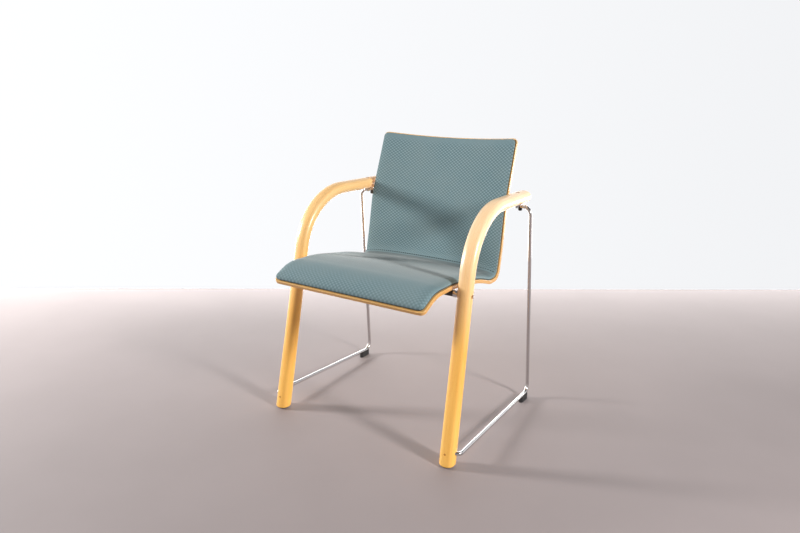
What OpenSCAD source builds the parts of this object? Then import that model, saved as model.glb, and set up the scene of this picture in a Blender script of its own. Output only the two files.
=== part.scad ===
// Visitor chair with bent wooden front legs that run back as armrests, a bent steel rod
// frame behind, a moulded plywood shell and thin sewn pads.
// Millimetres. +X is the sitter's left, the front faces -Y and the floor is at Z = 0.
// Inside the modules Y is counted from the leg bottoms. The last step moves the chair so that
// its bounding box is centred on the origin.

/* [Bent wooden sides] */
// Distance between the centres of the two leg bottoms
leg_spread = 561; // [500:1:640]
// Height of the armrest's centre line at its rear end
arm_height = 620; // [590:1:650]
// How far the armrest's rear end lies behind the leg's bottom
arm_reach = 469; // [462:1:490]
// Lean of the leg from upright, in degrees
leg_lean = 11.7; // [9:0.1:13]
// Radius of the bend's centre line between leg and armrest
arm_bend = 184; // [150:1:200]
// Fall of the armrest towards the rear, in degrees
arm_fall = 0.9; // [0:0.1:2]
// Diameter of the leg at the floor
leg_bottom_d = 41.5; // [38:0.5:46]
// Width of the armrest
arm_w = 45; // [42:0.5:50]
// Thickness of the armrest
arm_t = 35; // [32:0.5:40]
// Thickness of the leg below the bend, front to back
leg_waist_t = 31; // [29:0.5:36]
// How much the side leans inwards per millimetre of height
side_lean = 0.016; // [0.005:0.001:0.02]
// How much the side closes inwards per millimetre towards the rear
side_toe = 0.029; // [0.02:0.001:0.035]

/* [Steel rods] */
// Diameter of the bent steel rod
rod_d = 10; // [9:0.5:11]
// How far the runner lies outside the leg's centre at the front
runner_out = 31.3; // [28:0.1:36]
// How far the post stands outside the leg's centre at the floor
post_foot_out = 19; // [16:0.5:24]
// How far the post stands outside the armrest's centre at its top
post_top_out = 35.9; // [33:0.1:40]
// Height of the rod's centre where it enters the leg
rod_front_z = 36.5; // [30:0.5:44]
// Height of the runner's centre at the rear
rod_rear_z = 18.5; // [16:0.5:24]
// Distance of the post's foot behind the leg's bottom
post_foot_y = 467; // [460:1:474]
// Distance of the post's top behind the leg's bottom
post_top_y = 423.5; // [420:0.5:428]
// Centre line radius of the bend beside the leg
front_bend = 13; // [12:0.5:16]
// Centre line radius of the bend at the floor
foot_bend = 24; // [18:0.5:30]
// Centre line radius of the bend under the armrest
top_bend = 20; // [16:0.5:24]
// Gap between the back rail and the shell
rail_gap = 9; // [6:0.5:16]

/* [Plywood shell] */
// Thickness of the moulded plywood
ply_t = 10; // [8:0.5:11]
// How far the shell's side edge lies inside the leg's centre at the front
shell_in = 42.5; // [38:0.5:56]
// How much each side edge draws in from the front to the waist
waist_in = 6; // [2:0.5:16]
// How much each side edge draws in from the front to the top edge
top_in = 11.5; // [4:0.5:24]
// Height of the underside of the seat over the cross-bar
seat_z = 436; // [426:1:446]
// How far the front lip reaches ahead of the leg's bottom
lip_reach = 52; // [44:1:60]
// Drop of the front lip below the cross-bar's part of the seat
lip_drop = 28.4; // [20:0.1:36]
// Drop of the seat's rear below the cross-bar's part of the seat
rear_drop = 46; // [36:1:54]
// Distance of the back's foot behind the leg's bottom
seat_depth = 368.5; // [355:0.5:380]
// Height of the shell's top corners
shell_top_z = 778.5; // [740:0.5:820]
// How far the back's top edge lies behind its foot
back_rake = 105.5; // [95:0.5:115]
// Depth of the hollow of the back, from side to side
back_hollow = 33; // [20:1:36]
// Depth of the hollow of the seat, from side to side
seat_hollow = 5; // [2:0.5:8]
// Radius of the shell's four corners
corner_r = 14; // [8:1:24]

/* [Pads] */
// Width of the plywood border left bare around the pads
border = 3.5; // [3:0.5:8]
// Thickness of the seat pad at its middle
seat_pad_t = 15.5; // [12:0.5:24]
// Extra thickness of the seat pad over the front lip
lip_pad = 6; // [0:0.5:8]
// Thickness of the back pad at its middle
back_pad_t = 14; // [10:0.5:20]
// Thickness of a pad at its edge
pad_edge_t = 5; // [3:0.5:6]
// Width of the rounded shoulder of a pad
pad_shoulder = 30; // [20:1:50]

/* [Cross-bar and fixings] */
// Outer diameter of the cross-bar under the seat
bar_d = 16; // [14:0.5:20]
// Wall of the cross-bar
bar_wall = 1.5; // [1:0.1:2]
// How far the cross-bar's ends stand out past the shell's front width
bar_out = 2; // [0:0.5:4]
// Outer diameter of the spacer sleeve beside each leg
sleeve_d = 18; // [16:0.5:24]
// Diameter of the bolts through legs and armrests
bolt_d = 6; // [5:0.5:6.5]
// Diameter of the bolt recess in the outer side of each leg
recess_d = 11; // [10:0.1:13]
// Diameter of the plug on top of each armrest
plug_d = 14; // [12:0.5:16]
// How far the plug lies ahead of the post's top
bolt_ahead = 14.5; // [12:0.5:18]
// Half the distance between the two brackets behind the back
bracket_x = 85; // [60:1:110]
// Distance of each saddle's middle from the end of the cross-bar
saddle_inset = 88; // [60:1:120]
// Diameter of the black buffer under the rod
buffer_d = 12; // [11:0.5:15]
// Length of the black glide under each runner
glide_l = 44; // [36:1:46]
// Width of the black glide under each runner
glide_w = 13; // [12.5:0.5:16]
// Thickness of the disc glide under each leg
disc_t = 3; // [2:0.5:5]

/* [Hidden] */
$fn = 48;
rod_r = rod_d / 2;
// running clearance of a rod or bolt in its hole, on the radius
slip = 0.1;
// gap left between two pieces that lie face to face
seat_gap = 0.1;
// gap between a soft pad and the plywood, which covers the chords of the curves
pad_gap = 0.5;
// exponent of the rounded section of the wood, 2 would be an ellipse
squareness = 2.2;
ring_n = 24;
// diameter of the small plug in the front of each leg
lock_d = 6;

// The side's centre line in its own plane: [y, z] with the leg bottom at [0, 0].
lean_dir = [sin(leg_lean), cos(leg_lean)];
arm_dir = [cos(arm_fall), -sin(arm_fall)];
arm_end = [arm_reach, arm_height];
// distance up the leg at which leg and arm lines meet
meet = (arm_end[0] * arm_dir[1] - arm_end[1] * arm_dir[0])
    / (lean_dir[0] * arm_dir[1] - lean_dir[1] * arm_dir[0]);
corner = lean_dir * meet;
turn = 90 - leg_lean + arm_fall;
tangent_l = arm_bend * tan(turn / 2);
leg_top = corner - lean_dir * tangent_l;
arm_start = corner + arm_dir * tangent_l;
bend_centre = leg_top + arm_bend * [lean_dir[1], -lean_dir[0]];
leg_len = norm(leg_top);
bend_len = arm_bend * turn * PI / 180;
arm_len = norm(arm_end - arm_start);
side_len = leg_len + bend_len + arm_len;

// Point [y, z] of the centre line at distance l along it, and its direction angle from +Y.
function side_point(l) =
    l < leg_len ? lean_dir * l
    : l < leg_len + bend_len ?
        let (a = (l - leg_len) / arm_bend * 180 / PI)
        bend_centre + arm_bend * [-cos(leg_lean + a), sin(leg_lean + a)]
    : arm_start + arm_dir * (l - leg_len - bend_len);
function side_angle(l) =
    l < leg_len ? 90 - leg_lean
    : l < leg_len + bend_len ? 90 - leg_lean - (l - leg_len) / arm_bend * 180 / PI
    : -arm_fall;
function side_x(y, z) = leg_spread / 2 - side_lean * z - side_toe * y;
// Straight blends between named values along the length, t from 0 to 1.
function blend(a, b, t) = a + (b - a) * (3 * t * t - 2 * t * t * t);
function wood_w(t) =
    t < 0.45 ? blend(leg_bottom_d, leg_bottom_d - 1, t / 0.45)
    : blend(leg_bottom_d - 1, arm_w, min(1, (t - 0.45) / 0.4));
function wood_t(t) =
    t < 0.42 ? blend(leg_bottom_d, leg_waist_t, t / 0.42)
    : blend(leg_waist_t, arm_t, min(1, (t - 0.42) / 0.33));

// Ring of the wooden section at l, shrunk by s at rounded ends, in the YZ plane angle a.
function wood_ring(l, s, a) =
    let (p = side_point(l), t = l / side_len, w = wood_w(t) / 2, d = wood_t(t) / 2)
    [for (i = [0:ring_n - 1])
        let (c = cos(i * 360 / ring_n), e = sin(i * 360 / ring_n), q = 2 / squareness,
             u = sign(c) * pow(abs(c), q), v = sign(e) * pow(abs(e), q),
             y = p[0] - v * d * s[1] * sin(a), z = p[1] + v * d * s[1] * cos(a))
        [side_x(p[0], p[1]) + u * w * s[0], y, z]];

bottom_round = 5;
end_round = 15;
leg_steps = 9;
bend_steps = 20;
arm_steps = 5;
wood_rings = concat(
    [for (k = [0:2]) let (h = bottom_round * (1 - cos(k * 30)), s = 1 - bottom_round / leg_bottom_d
        * 2 * (1 - sin(k * 30))) [disc_t + h, [s, s], 90]],
    [for (k = [0:leg_steps - 1]) let (l0 = disc_t + bottom_round)
        [l0 + (leg_len - l0) * k / leg_steps, [1, 1], k == 0 ? 90 : 90 - leg_lean]],
    [for (k = [0:bend_steps - 1]) let (l = leg_len + bend_len * k / bend_steps)
        [l, [1, 1], side_angle(l)]],
    [for (k = [0:arm_steps]) let (l = leg_len + bend_len + (arm_len - end_round) * k / arm_steps)
        [l, [1, 1], -arm_fall]],
    [for (k = [1:5]) let (a = k * 17, l = side_len - end_round + end_round * sin(a))
        [l, [1 - 0.62 * (1 - cos(a)), 1 - 0.85 * (1 - cos(a))], -arm_fall]]);
wood_points = [for (r = wood_rings) each wood_ring(r[0], r[1], r[2])];

// Skin of a tube given as rings of n points, closed at both ends.
function tube_faces(rings, n) = concat(
    [for (r = [0:rings - 2], i = [0:n - 1]) let (j = (i + 1) % n)
        [r * n + i, (r + 1) * n + i, (r + 1) * n + j]],
    [for (r = [0:rings - 2], i = [0:n - 1]) let (j = (i + 1) % n)
        [r * n + i, (r + 1) * n + j, r * n + j]],
    [[for (i = [0:n - 1]) i]],
    [[for (i = [n - 1:-1:0]) (rings - 1) * n + i]]);

// Side profile of the shell's outer face, [y, z, fillet radius], at the shell's side edges:
// lip, front of the seat, crest over the cross-bar, slope, hollow at the rear, foot of the
// back, lumbar curve, shoulder curve and top.
seat_rear_z = seat_z - rear_drop;
lip_l = 58;
slope_y = 240;
dip_l = 54.5;
lumbar = [19.5, 88];
shoulder_bend = [38.5, 202];
shell_corners = [
    [-lip_reach, seat_z - lip_drop, 0],
    [lip_l - lip_reach, seat_z + 1.2, 100],
    [95, seat_z + 0.5, 300],
    [slope_y, seat_z - 22, 500],
    [seat_depth - dip_l, seat_rear_z, 60],
    [seat_depth, seat_rear_z, 34],
    [seat_depth + lumbar[0], seat_rear_z + lumbar[1], 260],
    [seat_depth + shoulder_bend[0], seat_rear_z + shoulder_bend[1], 240],
    [seat_depth + back_rake, shell_top_z, 0]];
arc_steps = [0, 5, 3, 2, 2, 8, 2, 6, 0];
function fillet(a, b, c, r, k) =
    let (u = unit(b - a), v = unit(c - b), t = acos(u * v), s = sign(u[0] * v[1] - u[1] * v[0]),
         cutback = r * tan(t / 2), p = b - u * cutback, o = p + s * r * [-u[1], u[0]])
    [for (i = [0:k]) let (g = s * t * i / k, d = p - o)
        o + [d[0] * cos(g) - d[1] * sin(g), d[0] * sin(g) + d[1] * cos(g)]];
function flat2(p) = [p[0], p[1]];
profile_raw = [for (i = [0:len(shell_corners) - 1])
    each (i == 0 || i == len(shell_corners) - 1) ? [flat2(shell_corners[i])]
        : fillet(flat2(shell_corners[i - 1]), flat2(shell_corners[i]),
            flat2(shell_corners[i + 1]), shell_corners[i][2], arc_steps[i])];
// running length along the profile
function lengths(p, i = 0, sum = 0) = i >= len(p) ? []
    : concat([sum], lengths(p, i + 1, i + 1 < len(p) ? sum + norm(p[i + 1] - p[i]) : sum));
profile_s = lengths(profile_raw);
shell_len = profile_s[len(profile_s) - 1];
function find_span(s, i = 0) = (i >= len(profile_s) - 2 || s < profile_s[i + 1]) ? i
    : find_span(s, i + 1);
function on_profile(s) = let (i = find_span(s), f = (s - profile_s[i])
    / (profile_s[i + 1] - profile_s[i])) profile_raw[i] + (profile_raw[i + 1] - profile_raw[i]) * f;
function tangent(i) = unit(profile_raw[min(i + 1, len(profile_raw) - 1)]
    - profile_raw[max(i - 1, 0)]);
function along(s) = let (i = find_span(s), f = (s - profile_s[i])
    / (profile_s[i + 1] - profile_s[i])) unit(tangent(i) * (1 - f) + tangent(i + 1) * f);

// length at which the seat turns up into the back: the middle of that bend
bend_i = len([for (i = [0:5]) for (k = [0:max(0, arc_steps[i])]) 1]) - 5;
seam_s = profile_s[bend_i] + 2;
function ease(a, b, s) = let (t = max(0, min(1, (s - a) / (b - a)))) 3 * t * t - 2 * t * t * t;
// The seat is flat over the cross-bar and hollow behind it. The back's hollow starts a little
// before the bend and is full well above it.
hollow_from = 170;
hollow_to = 300;
back_from = 20;
back_to = 170;
bend_run = 60;
seat_half = leg_spread / 2 - shell_in;
waist_half = seat_half - waist_in;
top_half = seat_half - top_in;
function hollow(s) = seat_hollow * ease(hollow_from, hollow_to, s)
    + (back_hollow - seat_hollow) * ease(seam_s - back_from, seam_s + back_to, s);
function half_w(s) = s < seam_s ? seat_half + (waist_half - seat_half) * ease(bend_run, seam_s, s)
    : waist_half + (top_half - waist_half) * ease(seam_s + bend_run, shell_len + bend_run, s);
// how much a rounded corner of radius r takes off the half width at distance d from an end
function nip(r, d) = d >= r ? 0 : r - sqrt(max(0, r * r - (r - d) * (r - d)));
function shell_point(s, w, lift, inset) =
    let (p = on_profile(s), t = along(s), n = [t[1], -t[0]], q = hollow(s) * (1 - w * w) - lift,
         x = w * (half_w(s) - inset))
    [x, p[0] + n[0] * q, p[1] + n[1] * q];

// Height of the shell's underside over a point of the seat
function s_at_y(y, i = 0) = profile_raw[i + 1][0] >= y ?
    profile_s[i] + (y - profile_raw[i][0]) / (profile_raw[i + 1][0] - profile_raw[i][0])
        * (profile_s[i + 1] - profile_s[i]) : s_at_y(y, i + 1);
function under_z(x, y) = let (s = s_at_y(y)) shell_point(s, x / half_w(s), 0, 0)[2];

// Cross-bar, its bolts and sleeves
bolt_r = bolt_d / 2;
bar_r = bar_d / 2;
bar_gap = 0.5;
bar_y = (seat_z - bar_gap - bar_r) * tan(leg_lean);
bar_z = min(under_z(0, bar_y - bar_r), under_z(0, bar_y + bar_r)) - bar_gap - bar_r;
leg_x_at_bar = side_x(bar_y, bar_z);
leg_half_at_bar = wood_w(bar_z / cos(leg_lean) / side_len) / 2;
sleeve_sink = 1.25;
sleeve_seat = leg_x_at_bar - leg_half_at_bar + sleeve_sink;
bar_end = seat_half + bar_out;
head_d = recess_d - 1;
recess_depth = 11.25;
head_floor = leg_x_at_bar + leg_half_at_bar - recess_depth;
head_t = 5;
plug_len = 14;

// Holes of the side for rod, lock plug, armrest bolt and plug
lock_in = 8;
rod_hole_y = rod_front_z * tan(leg_lean);
rod_hole_floor = side_x(rod_hole_y, rod_front_z) - lock_in;
plug_y = post_top_y - bolt_ahead;
plug_x = side_x(plug_y, arm_height);
arm_mid_z = arm_height + (arm_reach - plug_y) * tan(arm_fall);
flat_depth = 0.9;
arm_top_z = arm_mid_z + arm_t / 2;
arm_flat_z = arm_mid_z - arm_t / 2 + flat_depth;
plug_t = 5;
plug_sink = 0.8;
plug_top = arm_top_z - plug_sink;
plug_floor = plug_top - plug_t;
bolt_head_t = bolt_d;

// Rods and back rail
tongue_t = 4;
weld_in = 0.7;
tongue_z = arm_flat_z - seat_gap - tongue_t;
rod_top_z = tongue_z + weld_in - rod_r;
tongue_w = 22;
runner_front_x = side_x(rod_hole_y, rod_front_z) + runner_out;
post_foot_x = leg_spread / 2 + post_foot_out;
post_top_x = side_x(post_top_y, arm_height) + post_top_out;
// length along the profile at which the back reaches a height
function lookup_s(z, i = 0) = (i >= len(profile_raw) - 2
    || (profile_raw[i][0] > seat_depth - 7 && profile_raw[i + 1][1] >= z)) ?
    profile_s[i] + (z - profile_raw[i][1]) / (profile_raw[i + 1][1] - profile_raw[i][1])
        * (profile_s[i + 1] - profile_s[i]) : lookup_s(z, i + 1);
rail_s = lookup_s(rod_top_z);
rail_y = shell_point(rail_s, 0, 0, 0)[1] + rail_gap + rod_r;
// The back rail leaves the post's top at a slant and then runs straight across.
rail_slant = 114;
rail_joint_in = 82;
rail_corner_x = post_top_x - rail_slant;
rail_joint_x = post_top_x - rail_joint_in;
function rail_start_y(x) = post_top_y + (rail_y - post_top_y) * (post_top_x - x) / rail_slant;
tongue_over = 10;
tongue_rear = rail_start_y(plug_x) + tongue_over;

module side() {
    difference() {
        polyhedron(wood_points, tube_faces(len(wood_rings), ring_n), convexity = 6);
        // hole for the rod's front end
        translate([rod_hole_floor, rod_hole_y, rod_front_z]) rotate([0, 90, 0])
            cylinder(r = rod_r + slip, h = leg_bottom_d);
        // hole for the small plug that locks the rod
        translate([rod_hole_floor + lock_in, rod_hole_y, rod_front_z]) rotate([90, 0, 0])
            cylinder(d = lock_d + 2 * slip, h = leg_bottom_d);
        // bolt hole with a recess outside and a flat seat for the sleeve inside
        translate([0, bar_y, bar_z]) rotate([0, 90, 0]) {
            cylinder(r = bolt_r + slip, h = leg_spread);
            translate([0, 0, head_floor]) cylinder(d = recess_d, h = leg_bottom_d);
            translate([0, 0, sleeve_seat - leg_bottom_d]) cylinder(d = sleeve_d + 1, h = leg_bottom_d);
        }
        // bolt hole from the plug down to the tongue
        translate([plug_x, plug_y, 0]) {
            translate([0, 0, arm_flat_z - arm_t]) cylinder(r = bolt_r + slip, h = 3 * arm_t);
            translate([0, 0, plug_floor - bolt_head_t]) cylinder(d = plug_d, h = arm_t);
        }
        // flat under the armrest for the tongue
        translate([plug_x - tongue_w / 2 - 1, plug_y - tongue_w / 2 - 3, arm_flat_z - arm_t / 2])
            cube([tongue_w + 2, tongue_rear - plug_y + tongue_w / 2 + 5, arm_t / 2]);
        // pin hole of the disc glide
        side_pin(slip);
    }
}

pin_d = 4;
pin_l = 12;
module side_pin(extra) {
    translate([side_x(0, disc_t), disc_t * tan(leg_lean), disc_t - 1])
        cylinder(d = pin_d + 2 * extra, h = pin_l + extra);
}

// Rod through a list of corners with the bend radii between its straights. The bends are a
// hair thicker than the straights, which run a little way into them, so that they fuse cleanly.
swell = 0.05;
run_in = 0.6;
function unit(v) = v / norm(v);
module aim(from, along) {
    d = unit(along);
    translate(from) rotate([0, acos(d[2]), atan2(d[1], d[0])]) children();
}
module rod_piece(corners, radii, r) {
    n = len(corners);
    cut = [for (i = [0:n - 1]) (i == 0 || i == n - 1) ? 0 :
        let (a = unit(corners[i] - corners[i - 1]), b = unit(corners[i + 1] - corners[i]))
        radii[i] * tan(acos(a * b) / 2)];
    for (i = [0:n - 2]) {
        d = unit(corners[i + 1] - corners[i]);
        a = i == 0 ? 0 : cut[i] - run_in;
        b = i == n - 2 ? 0 : cut[i + 1] - run_in;
        aim(corners[i] + d * a, d) cylinder(r = r, h = norm(corners[i + 1] - corners[i]) - a - b);
    }
    if (n > 2) for (i = [1:n - 2]) {
        a = unit(corners[i] - corners[i - 1]);
        b = unit(corners[i + 1] - corners[i]);
        turn_by = acos(a * b);
        up = unit(cross(a, b));
        inward = cross(up, a);
        centre = corners[i] - a * cut[i] + inward * radii[i];
        multmatrix([[-inward[0], a[0], up[0], centre[0]],
                    [-inward[1], a[1], up[1], centre[1]],
                    [-inward[2], a[2], up[2], centre[2]],
                    [0, 0, 0, 1]])
            rotate_extrude(angle = turn_by) translate([radii[i], 0]) circle(r = r + swell);
    }
}

rod_end_gap = 2;
rail_bend = 60;
rod_start = [rod_hole_floor + rod_end_gap, rod_hole_y, rod_front_z];
rod_side = [runner_front_x, rod_hole_y, rod_front_z];
rod_foot = [post_foot_x, post_foot_y, rod_rear_z];
rod_top = [post_top_x, post_top_y, rod_top_z];
rod_joint = [rail_joint_x, rail_start_y(rail_joint_x), rod_top_z];
rail_corner = [rail_corner_x, rail_y, rod_top_z];
module rod() {
    rod_piece([rod_start, rod_side, rod_foot, rod_top, rod_joint],
        [0, front_bend, foot_bend, top_bend, 0], rod_r);
}
module rail() {
    rod_piece([rod_joint, rail_corner, [-rail_corner[0], rail_corner[1], rail_corner[2]],
        [-rod_joint[0], rod_joint[1], rod_joint[2]]], [0, rail_bend, rail_bend, 0], rod_r);
}

// Small plug in the front of the leg that hides the pin holding the rod
module lock_plug() {
    front = wood_t(rod_front_z / side_len) / 2 / cos(leg_lean);
    translate([rod_hole_floor + lock_in, rod_hole_y - rod_r - slip - 0.2, rod_front_z])
        rotate([90, 0, 0]) cylinder(d = lock_d, h = front - rod_r - 0.6);
}

disc_in = 11;
disc_edge = 1;
module disc_glide() {
    translate([side_x(0, 0), disc_t * tan(leg_lean), 0]) {
        cylinder(d1 = leg_bottom_d - disc_in - 3, d2 = leg_bottom_d - disc_in, h = disc_edge);
        translate([0, 0, disc_edge])
            cylinder(d = leg_bottom_d - disc_in, h = disc_t - disc_edge - seat_gap / 2);
    }
    side_pin(0);
}

glide_back = 14;
glide_top = 1.5;
glide_step = 3;
module runner_glide() {
    mid_y = post_foot_y - foot_bend - glide_l / 2 + glide_back;
    x = post_foot_x + (runner_front_x - post_foot_x) * (post_foot_y - mid_y) / post_foot_y;
    h = rod_rear_z + glide_top;
    r = glide_w / 2;
    difference() {
        intersection() {
            translate([x, mid_y - glide_l / 2, 0]) union() {
                translate([-r, 0, 0]) cube([glide_w, glide_l, h - glide_step]);
                translate([2 - r, 0, 0]) cube([glide_w - 4, glide_l, h]);
            }
            // rounded ends
            translate([x, mid_y, -1]) linear_extrude(h + 2) {
                square([glide_w, glide_l - glide_w], center = true);
                for (s = [-1, 1]) translate([0, s * (glide_l - glide_w) / 2])
                    circle(d = glide_w);
            }
        }
        rod_piece([rod_start, rod_side, rod_foot, rod_top], [0, front_bend, foot_bend, 0],
            rod_r + seat_gap / 2);
    }
}

// Tongue welded on the rod and bolted under the armrest
module tongue() {
    difference() {
        translate([plug_x, 0, tongue_z]) linear_extrude(tongue_t) difference() {
            union() {
                translate([-tongue_w / 2, plug_y]) square([tongue_w, tongue_rear - plug_y]);
                translate([0, plug_y]) circle(d = tongue_w);
            }
            translate([0, plug_y]) circle(r = bolt_r + slip);
        }
        rod_piece([rod_foot, rod_top, rod_joint], [0, top_bend, 0], rod_r + 0.02);
    }
}

nut_t = 5;
nut_past = 1;
module arm_bolt() {
    tip_z = tongue_z - seat_gap - nut_t - nut_past;
    translate([plug_x, plug_y, 0]) {
        translate([0, 0, plug_floor - bolt_head_t]) cylinder(d = head_d, h = bolt_head_t - 0.2);
        translate([0, 0, tip_z]) cylinder(r = bolt_r, h = plug_floor - bolt_head_t - tip_z);
    }
}
// Nut under the tongue
module arm_nut() {
    translate([plug_x, plug_y, tongue_z - seat_gap - nut_t]) difference() {
        cylinder(d = (bolt_d + 4) / cos(30), h = nut_t, $fn = 6);
        translate([0, 0, -1]) cylinder(r = bolt_r + seat_gap / 2, h = nut_t + 2);
    }
}
module arm_plug() {
    translate([plug_x, plug_y, plug_floor]) cylinder(d = plug_d - 2 * slip, h = plug_t);
}

buffer_h = 10;
buffer_up = 1.5;
module buffer() {
    y = rail_start_y(plug_x);
    difference() {
        translate([plug_x, y, rod_top_z - rod_r - buffer_h + buffer_up]) union() {
            intersection() {
                translate([0, 0, buffer_d * 0.8]) sphere(d = buffer_d * 1.6);
                cylinder(d = buffer_d, h = buffer_h * 0.5);
            }
            translate([0, 0, buffer_h * 0.5]) cylinder(d = buffer_d, h = buffer_h * 0.7);
        }
        rod_piece([rod_top, rod_joint], [0, 0], rod_r + seat_gap / 2);
    }
}

module bar() {
    translate([0, bar_y, bar_z]) rotate([0, 90, 0]) difference() {
        translate([0, 0, -bar_end]) cylinder(r = bar_r, h = 2 * bar_end);
        translate([0, 0, plug_len - bar_end])
            cylinder(r = bar_r - bar_wall, h = 2 * (bar_end - plug_len));
        for (s = [-1, 1]) translate([0, 0, s * bar_end - 20])
            cylinder(r = bolt_r + seat_gap / 2, h = 40);
    }
}
module sleeve() {
    translate([bar_end + seat_gap, bar_y, bar_z]) rotate([0, 90, 0]) difference() {
        cylinder(d = sleeve_d, h = sleeve_seat - bar_end - 2 * seat_gap);
        translate([0, 0, -1]) cylinder(r = bolt_r + slip, h = sleeve_seat - bar_end + 2);
    }
}
module leg_bolt() {
    start = bar_end - plug_len + 1;
    translate([0, bar_y, bar_z]) rotate([0, 90, 0]) difference() {
        union() {
            translate([0, 0, start]) cylinder(r = bolt_r, h = head_floor - start);
            translate([0, 0, head_floor]) cylinder(d = head_d, h = head_t);
        }
        translate([0, 0, head_floor + head_t / 2]) cylinder(d = bolt_d * 0.9, h = head_t, $fn = 6);
    }
}

// Saddle that holds the cross-bar up against the shell
saddle_w = 30;
saddle_l = 46;
strap_t = 3;
screw_d = 4;
screw_head_d = 8;
screw_head_t = 2.4;
screw_in = 6;
bite = 4.5;
saddle_x = bar_end - saddle_inset;
saddle_low = bar_z - bar_r - strap_t;
saddle_front_z = under_z(saddle_x, bar_y - saddle_l / 2);
saddle_rear_z = under_z(saddle_x, bar_y + saddle_l / 2);
saddle_slope = atan((saddle_rear_z - saddle_front_z) / saddle_l);
saddle_gap = 0.35;
module saddle() {
    difference() {
        translate([saddle_x - saddle_w / 2, bar_y - saddle_l / 2, saddle_low])
            cube([saddle_w, saddle_l, 2 * bar_d]);
        // top follows the underside of the seat
        translate([saddle_x - saddle_w, bar_y - saddle_l / 2, saddle_front_z - saddle_gap])
            rotate([saddle_slope, 0, 0]) translate([0, -saddle_l / 2, 0])
                cube([2 * saddle_w, 2 * saddle_l, 2 * bar_d]);
        // trough for the bar
        translate([saddle_x - saddle_w, bar_y, bar_z]) rotate([0, 90, 0])
            cylinder(r = bar_r + seat_gap / 2, h = 2 * saddle_w);
        translate([saddle_x - saddle_w, bar_y - bar_r - seat_gap / 2, bar_z])
            cube([2 * saddle_w, bar_d + seat_gap, bar_d]);
        for (s = [-1, 1]) translate([saddle_x, bar_y + s * (saddle_l / 2 - screw_in), saddle_low - 1])
            cylinder(d = screw_d + 2 * slip, h = 3 * bar_d);
    }
}
module saddle_screw_at(s) {
    y = bar_y + s * (saddle_l / 2 - screw_in);
    z = saddle_low - seat_gap - screw_head_t;
    translate([saddle_x, y, z]) {
        cylinder(d = screw_head_d, h = screw_head_t);
        translate([0, 0, 1]) cylinder(d = screw_d, h = under_z(saddle_x, y) + bite - z - 1);
    }
}

// Closed solid between two lifts of the shell surface over a grid of lengths and widths.
function slab_faces(rows, cols) = let (m = rows * cols) concat(
    [for (r = [0:rows - 2], c = [0:cols - 2]) let (a = r * cols + c)
        each [[a, a + 1, a + cols + 1], [a, a + cols + 1, a + cols]]],
    [for (r = [0:rows - 2], c = [0:cols - 2]) let (a = m + r * cols + c)
        each [[a, a + cols + 1, a + 1], [a, a + cols, a + cols + 1]]],
    [for (r = [0:rows - 2]) let (a = r * cols, b = m + r * cols)
        each [[a, a + cols, b + cols], [a, b + cols, b]]],
    [for (r = [0:rows - 2]) let (a = r * cols + cols - 1, b = m + r * cols + cols - 1)
        each [[a, b + cols, a + cols], [a, b, b + cols]]],
    [for (c = [0:cols - 2]) let (a = c, b = m + c) each [[a, b, b + 1], [a, b + 1, a + 1]]],
    [for (c = [0:cols - 2]) let (a = (rows - 1) * cols + c, b = m + (rows - 1) * cols + c)
        each [[a, b + 1, b], [a, a + 1, b + 1]]]);

corner_s = [for (k = [0:4]) corner_r * (1 - cos(k * 22.5))];
inner_s = [for (i = [1:len(profile_s) - 2]) if (profile_s[i] > corner_r + 3
    && profile_s[i] < shell_len - corner_r - 3) profile_s[i]];
top_rows = [120, 70];
upper_rows = [38, 56, 105, 125, 146, 162];
shell_rows = concat(corner_s, inner_s, [for (d = top_rows) shell_len - d],
    [for (d = upper_rows) seam_s + d],
    [for (k = [4:-1:0]) shell_len - corner_s[k]]);
function sorted(v) = len(v) < 2 ? v : let (m = v[floor(len(v) / 2)])
    concat(sorted([for (x = v) if (x < m) x]), [m], sorted([for (x = v) if (x > m) x]));
rows_used = sorted(shell_rows);
shell_cols = 15;
// places across the width from -1 to 1, closer together towards the edges
function across(c, n, g) = sin((c / (n - 1) * 2 - 1) * 90 * g) / sin(90 * g);
module shell() {
    pts = concat(
        [for (s = rows_used, c = [0:shell_cols - 1]) let (e = nip(corner_r, min(s, shell_len - s)))
            shell_point(s, across(c, shell_cols, 0.72) * (1 - e / half_w(s)), 0, 0)],
        [for (s = rows_used, c = [0:shell_cols - 1]) let (e = nip(corner_r, min(s, shell_len - s)))
            shell_point(s, across(c, shell_cols, 0.72) * (1 - e / half_w(s)), ply_t, 0)]);
    difference() {
        polyhedron(pts, slab_faces(len(rows_used), shell_cols), convexity = 8);
        for (m = [-1, 1], s = [-1, 1]) let (y = bar_y + s * (saddle_l / 2 - screw_in))
            translate([m * saddle_x, y, saddle_low])
                cylinder(d = screw_d + 2 * slip, h = under_z(saddle_x, y) + bite + 1 - saddle_low);
        for (m = [0, 1]) mirror([m, 0, 0]) bracket_screw_pair(slip);
    }
}

// Pads: distance from the pad's own edge decides the thickness of its rounded shoulder.
function shoulder(d, mid) = pad_edge_t + (mid - pad_edge_t)
    * sqrt(max(0, 1 - pow(1 - min(1, d / pad_shoulder), 2)));
pad_cols = 23;
pad_rows = 24;
pad_fall = 2.5;
lip_from = 30;
lip_to = 110;
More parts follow.
